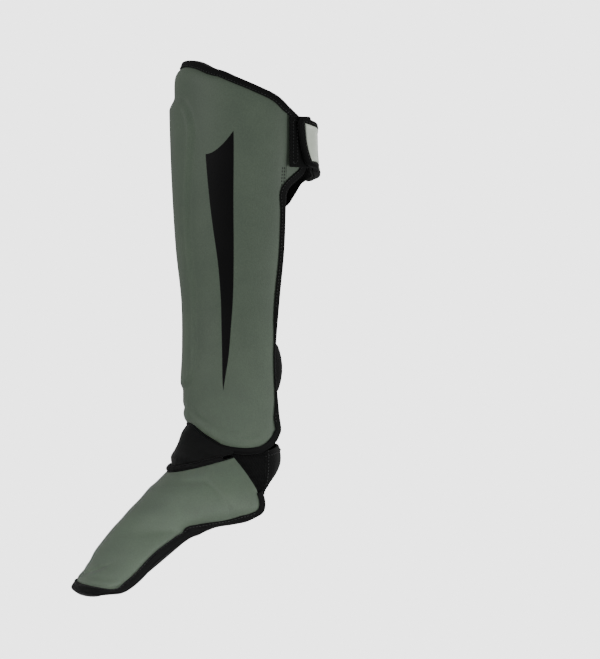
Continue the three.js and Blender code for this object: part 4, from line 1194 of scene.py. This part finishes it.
# %% Padded tongue
FLAP_WALL, FLAP_BULGE, FLAP_SIDE, FLAP_SKIN = 6.0, 2.4, 0.8, 0.4
TUCK_TOP, TUCK_BOTTOM = 3.6, 3.0
FLAP_VOXEL, FLAP_PRESSURE, FLAP_CAP, FLAP_FRAMES = 3.2, 4.0, 1.6, 20
FOLDS = table("down out", (0, 0), (0.2, 1), (0.42, 0.3), (0.6, 0.4), (0.76, 0.9), (0.9, -1.1), (1, -0.6))


def tongue_point(down, share, depth):
    down, share, depth = np.broadcast_arrays(down, share, depth)
    side = share * FLAP_SIDE
    z = bottom_edge(side) - TAPE_OUT + TUCK_TOP
    top = shin_point(side * shin_section(z)[3], z, rim_sink(np.abs(side)) + depth)
    foot_side = share * PIPING_SIDE
    foot_end = np.zeros_like(foot_side)
    foot = foot_point(foot_end, foot_side, foot_depths(foot_end, foot_side)[0] + depth)
    foot[..., 2] += PIPING_LIFT + PIPING_RADIUS - TUCK_BOTTOM
    point = top + (foot - top) * down[..., None]
    room = np.clip((1 - np.abs(share)) * 2.5, 0, 1)
    wave = 0.7 * np.sin(share * 9 + down * 5) * np.sin(math.pi * down)
    out = FLAP_BULGE * read(FOLDS, "down", "out", down) * room + wave
    turn = math.pi / 2 * side
    return point + np.stack([np.sin(turn) * out, -np.cos(turn) * out, 0 * out], axis=-1)


down = np.linspace(0, 1, 26)[:, None]
share = np.linspace(-1, 1, 70)[None, :]
tongue = wall("padded_ankle_tongue", tongue_point(down, share, FLAP_SKIN),
              tongue_point(down, share, FLAP_WALL - 2 * FLAP_SKIN), [black_knit], crease=80)


def inflate(piece, edges, voxel, pressure, cap, frames):
    scene = bpy.context.scene
    bpy.context.view_layer.objects.active = piece
    remesh = piece.modifiers.new("remesh", "REMESH")
    remesh.mode = "VOXEL"
    remesh.voxel_size = voxel * MM
    bpy.ops.object.modifier_apply(modifier=remesh.name)
    start = np.array([v.co for v in piece.data.vertices])
    away = np.min(np.linalg.norm(start[:, None] - edges[None] * MM, axis=2), axis=1)
    pins = piece.vertex_groups.new(name="sewn")
    for index in np.nonzero(away < 1.5 * voxel * MM)[0]:
        pins.add([int(index)], 1.0, "REPLACE")
    cloth = piece.modifiers.new("cloth", "CLOTH")
    cloth.settings.quality = 5
    cloth.settings.mass = 0.2
    cloth.settings.vertex_group_mass = pins.name
    cloth.settings.use_pressure = True
    cloth.settings.uniform_pressure_force = pressure
    cloth.settings.effector_weights.gravity = 0
    cloth.point_cache.frame_start = 1
    cloth.point_cache.frame_end = frames
    for frame_number in range(1, frames + 1):
        scene.frame_set(frame_number)
    shaped = piece.evaluated_get(bpy.context.evaluated_depsgraph_get()).data
    moved = np.array([v.co for v in shaped.vertices]) - start
    piece.modifiers.remove(cloth)
    scene.frame_set(1)
    far = np.linalg.norm(moved, axis=1, keepdims=True)
    moved *= np.minimum(1, cap * MM / np.maximum(far, 1e-9))
    piece.data.vertices.foreach_set("co", (start + moved).ravel())
    most = float(np.linalg.norm(moved, axis=1).max()) / MM
    print(piece.name, "swelled by up to", round(most, 1), "mm")


middle = FLAP_WALL / 2
seams = np.concatenate([tongue_point(level, share[0][::3], middle) for level in (0.0, 1.0)])
ends = np.concatenate([tongue_point(down[::3, 0], end, middle) for end in (-1.0, 1.0)])
inflate(tongue, np.concatenate([seams, ends]), FLAP_VOXEL, FLAP_PRESSURE, FLAP_CAP, FLAP_FRAMES)
finer = tongue.modifiers.new("finer", "SUBSURF")
finer.levels = finer.render_levels = 1
bpy.ops.object.modifier_apply(modifier=finer.name)
tongue.data.shade_smooth()
keep(tongue, "black_cloth", "ankle_flap")

# %% [markdown]
# Black elastic panels close the ankle on both sides, between the two pads and the heel
# strap. They are flat pieces under light tension, so each is a thin wall between two seams,
# drawn in a little at its middle.

# %% Ankle elastic
ELASTIC_WALL = 2.2
HEEL_REACH, HEEL_FRONT, HEEL_HALF_TOP, HEEL_HALF_BOTTOM = 78.0, 53.0, 50.0, 58.0
HEEL_RISE, HEEL_DRAW, HEEL_FORWARD = 5.0, 8.0, 4.0
ELASTIC_TOP = -SHIN_DROP - TAPE_OUT - CLEARANCE
PANEL_RISE, PANEL_BACK_RISE, PANEL_PULL, PANEL_CRIMP = 4.2, 0.6, 1.2, 0.3
PANEL_FRONT = 0.97


def heel_seam(down, depth):
    bottom = foot_rib(np.array(GUSSET_END))[1][1]
    half = mix(HEEL_HALF_TOP, HEEL_HALF_BOTTOM, down) - depth
    height = mix(ELASTIC_TOP, bottom, down) + 0 * half
    return np.stack([half, 0 * half + HEEL_FRONT - HEEL_FORWARD * down ** 2, height], axis=-1)


def flat_size(face):
    wide = np.linalg.norm(np.diff(face, axis=1), axis=-1).sum(axis=1).max()
    tall = np.linalg.norm(np.diff(face, axis=0), axis=-1).sum(axis=0).max()
    print("flat size", round(float(wide)), "by", round(float(tall)), "mm")
    return wide * MM, tall * MM


def ankle_panel(name, hand, node):
    down = np.linspace(0, 1, 40)[:, None]
    back = np.linspace(0, 1, 24)[None, :]

    def face(depth):
        pull = PANEL_PULL * np.sin(math.pi * down) * np.sin(math.pi * back)
        crimp = PANEL_CRIMP * np.sin(down * 37) * np.sin(math.pi * back)
        front = foot_point(GUSSET_END * down, PANEL_FRONT, FOOT_SINK + FOOT_RIM + CLEARANCE + depth)
        point = front + (heel_seam(down, depth) - front) * back[..., None]
        point[..., 2] += mix(PANEL_RISE, PANEL_BACK_RISE, back) * np.clip(1 - down / 0.3, 0, 1)
        point[..., 0] -= pull + crimp
        return point * np.array([hand, 1, 1])

    made = wall(name, face(0.0), face(ELASTIC_WALL), [black_elastic])
    keep(made, "black_elastic", node)
    flat_size(face(ELASTIC_WALL / 2))


for hand, word in ((1, "left"), (-1, "right")):
    ankle_panel("elastic_panel_" + word, hand, "gusset_" + word)

# %% [markdown]
# The heel strap goes from seam to seam behind the ankle. It bellies out at its middle and is
# drawn in under the heel, and its two edges are turned over, which leaves soft ridges.

# %% Heel strap
HEEL = table("down back", (0, 0.9), (0.25, 1), (0.5, 0.98), (0.75, 0.74), (1, 0.18))
TOP_HEM, BOTTOM_HEM, HEEL_FOLD = 0.7, 0.5, 0.9


def heel_face(depth):
    down = np.linspace(0, 1, 36)[:, None]
    swing = math.pi * (np.linspace(0, 1, 90)[None, :] - 0.5)
    seam = heel_seam(down, depth)
    reach = (HEEL_REACH - HEEL_FRONT) * read(HEEL, "down", "back", down) - depth
    ridge = lambda place: np.exp(-((down - place) / 0.05) ** 2)
    reach = reach + TOP_HEM * ridge(0.1) + BOTTOM_HEM * ridge(0.93)
    fold = HEEL_FOLD * np.exp(-((np.abs(swing) - 1.2) / 0.1) ** 2) * np.sin(math.pi * down)
    x = seam[..., 0] * np.sin(swing) * (1 + 0 * down)
    y = seam[..., 1] + CLEARANCE + reach * np.cos(swing) + fold * np.cos(swing)
    z = seam[..., 2] + mix(HEEL_RISE, HEEL_DRAW, down) * np.cos(swing)
    return np.stack([x, y, z + 0 * x], axis=-1)


heel_strap = wall("elastic_heel_strap", heel_face(0.0), heel_face(ELASTIC_WALL), [black_elastic],
                  crease=60)
keep(heel_strap, "black_elastic", "heel_strap")
flat_size(heel_face(ELASTIC_WALL / 2))

# %% [markdown]
# A wide elastic band goes under the sole and is sewn inside the foot pad's edges. It is a
# strap like the others, whose height runs along the foot.

# %% Sole strap
SOLE_SAG, SOLE_START, SOLE_END, SOLE_LAP_SIDE = 8.0, 0.62, 0.83, 0.88
SOLE_WAY = ((1, -0.6), (1, -0.2), (0.93, 0.5), (0.7, 0.9), (0.35, 0.98), (0, 1))


def sole_points():
    start = foot_rib(np.array(SOLE_START))
    end = foot_rib(np.array(SOLE_END))
    first, last = (np.array([0, *rib[1]]) for rib in (end, start))
    along = last - first
    width = np.linalg.norm(along)
    along /= width
    down = -np.array([0, -along[2], along[1]])
    inset = FOOT_SINK + FOOT_RIM + 2 * CLEARANCE + TAPE_WALL
    lap_turn = math.pi / 2 * SOLE_LAP_SIDE
    half = (min(start[2], end[2]) - inset) * math.sin(lap_turn) - 3 * CLEARANCE
    left = [(first + last) / 2 + down * SOLE_SAG * fall + np.array([half * share, 0, 0])
            for share, fall in SOLE_WAY]
    right = [point * np.array([-1, 1, 1]) for point in left[-2::-1]]
    return left + right, along, width


points, along, width = sole_points()
sole_way = Strap(points, up=along)
sole_strap = strap_mesh("elastic_sole_strap", sole_way, width, ELASTIC_WALL, ripple=0.3)
keep(sole_strap, "black_elastic", "sole_strap")
print("sole strap", round(width), "by", round(sole_way.length), "mm")

# %% [markdown]
# Stitches repeat along a path, so Geometry Nodes lay them: the seam's line becomes a curve,
# the curve is cut into even steps of one pitch, and a short rounded thread is set on each
# step and turned along the seam. Real stitches of this kind are about 3 mm long.

# %% Stitch nodes
STITCH_PITCH, STITCH_LENGTH, THREAD = 3.2, 2.3, 0.42
BEAD_SEGMENTS, BEAD_RINGS = 8, 5


def stitch_tree():
    tree = bpy.data.node_groups.new("stitch_run", "GeometryNodeTree")
    face = tree.interface
    face.new_socket("Seam", in_out="INPUT", socket_type="NodeSocketGeometry")
    for name in ("Pitch", "Length", "Thread"):
        face.new_socket(name, in_out="INPUT", socket_type="NodeSocketFloat")
    face.new_socket("Finish", in_out="INPUT", socket_type="NodeSocketMaterial")
    face.new_socket("Stitches", in_out="OUTPUT", socket_type="NodeSocketGeometry")
    given = add(tree, "NodeGroupInput").outputs
    curve = add(tree, "GeometryNodeMeshToCurve", {"Mesh": given["Seam"]})
    even = add(tree, "GeometryNodeResampleCurve", {
        "Curve": curve.outputs[0], "Length": given["Pitch"]}, mode="LENGTH")
    way = add(tree, "GeometryNodeInputTangent")
    turned = add(tree, "FunctionNodeAlignRotationToVector", {"Vector": way.outputs[0]}, axis="X")
    bead = add(tree, "GeometryNodeMeshUVSphere", {
        "Segments": BEAD_SEGMENTS, "Rings": BEAD_RINGS, "Radius": 1.0})
    half = add(tree, "ShaderNodeMath", {0: given["Length"], 1: 0.5}, operation="MULTIPLY")
    size = add(tree, "ShaderNodeCombineXYZ", {
        "X": half.outputs[0], "Y": given["Thread"], "Z": given["Thread"]})
    laid = add(tree, "GeometryNodeInstanceOnPoints", {
        "Points": even.outputs[0], "Instance": bead.outputs[0],
        "Rotation": turned.outputs[0], "Scale": size.outputs[0]})
    real = add(tree, "GeometryNodeRealizeInstances", {"Geometry": laid.outputs[0]})
    soft = add(tree, "GeometryNodeSetShadeSmooth", {"Geometry": real.outputs[0]})
    done = add(tree, "GeometryNodeSetMaterial", {
        "Geometry": soft.outputs[0], "Material": given["Finish"]})
    add(tree, "NodeGroupOutput", {"Stitches": done.outputs[0]})
    return tree


STITCHES = stitch_tree()
print("stitch tree", len(STITCHES.nodes), "nodes")

# %% [markdown]
# Sewing thread is bonded polyester: round, smooth and a little glossier than what it holds.
# It is dark here, so it reads as a row of small glints. The twist is under a tenth of a
# millimetre and is left to a fine noise.

# %% Sewing thread
black_thread, tree = new_material("black_bonded_thread")
at = add(tree, "ShaderNodeTexCoord").outputs["Object"]
twist = add(tree, "ShaderNodeTexNoise", {"Vector": at, "Scale": 1000 / 0.8})
tone = add(tree, "ShaderNodeValToRGB", {"Fac": twist.outputs["Fac"]})
tone.color_ramp.elements[0].color = linear("#121313")
tone.color_ramp.elements[1].color = linear("#232525")
fibre = add(tree, "ShaderNodeBsdfPrincipled", {"Base Color": tone.outputs[0], "Roughness": 0.45})
add(tree, "ShaderNodeOutputMaterial", {"Surface": fibre.outputs[0]})
print(black_thread.name)


# %% Stitch maker
def stitches(name, runs):
    points, edges = [], []
    for run in runs:
        first = len(points)
        points += (np.asarray(run) * MM).tolist()
        edges += [(k, k + 1) for k in range(first, len(points) - 1)]
    mesh = bpy.data.meshes.new(name)
    mesh.from_pydata(points, edges, [])
    made = bpy.data.objects.new(name, mesh)
    bpy.context.scene.collection.objects.link(made)
    values = {"Pitch": STITCH_PITCH * MM, "Length": STITCH_LENGTH * MM,
              "Thread": THREAD * MM, "Finish": black_thread}
    modifier = made.modifiers.new("stitches", "NODES")
    modifier.node_group = STITCHES
    for item in STITCHES.interface.items_tree:
        if item.in_out == "INPUT" and item.name in values:
            modifier[item.identifier] = values[item.name]
    plain = bpy.data.meshes.new_from_object(made.evaluated_get(bpy.context.evaluated_depsgraph_get()))
    made.modifiers.clear()
    made.data = plain
    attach(made, "root")
    print(name, len(plain.polygons) // (BEAD_SEGMENTS * BEAD_RINGS), "stitches")


# %% Seams
WING_SEAM_LOW, WING_SEAM_HIGH, WING_SEAM_INSETS = 56.0, 138.0, (1.4, 3.4)
BOX_INSET, THREAD_LIFT = 4.0, 0.15


def parts_of(line, mask):
    runs = [[]]
    for point, on in zip(line, mask):
        if on:
            runs[-1].append(point)
        else:
            runs.append([])
    return [run for run in runs if len(run) > 2]


def wing_seam(hand, inset):
    level = np.linspace(WING_SEAM_LOW, WING_SEAM_HIGH, 60)
    return shin_skin(hand * (1 - inset / shin_section(level)[3]), level, 0.2)


stitches("stitches_edge_tape", parts_of(edge_seam, shows_seam))
stitches("stitches_foot_tape", [foot_seam])
strap_low = CALF_STRAP_LEVEL - CALF_STRAP_WIDTH / 2
wing_rows = [wing_seam(hand, inset) for hand in (1, -1) for inset in WING_SEAM_INSETS]
wing_runs = [run for row in wing_rows for run in parts_of(row, row[:, 2] < strap_low)]
stitches("stitches_wings", wing_runs)
stitches("stitches_tab_tape", [tab_seam])
stitches("stitches_tongue", [lip_seam])


def box_on_strap(strap, start, end):
    reach = CALF_STRAP_WIDTH / 2 - BOX_INSET
    corners = [(start, -reach), (end, -reach), (end, reach), (start, reach)]
    ring = rounded_path([*corners, corners[0], (start + 1, -reach)], [2] * 4, 3)
    return strap.at(ring[:, 0], ring[:, 1], np.full(len(ring), THREAD_LIFT))


far_end = calf_strap.length
boxes = [box_on_strap(calf_strap, 3, 8), box_on_strap(calf_strap, far_end - 20, far_end - 3)]
stitches("stitches_upper_strap", boxes)
heel_run = heel_face(-0.2)
stitches("stitches_heel", [heel_run[4], heel_run[31], heel_run[:, 3], heel_run[:, -4]])
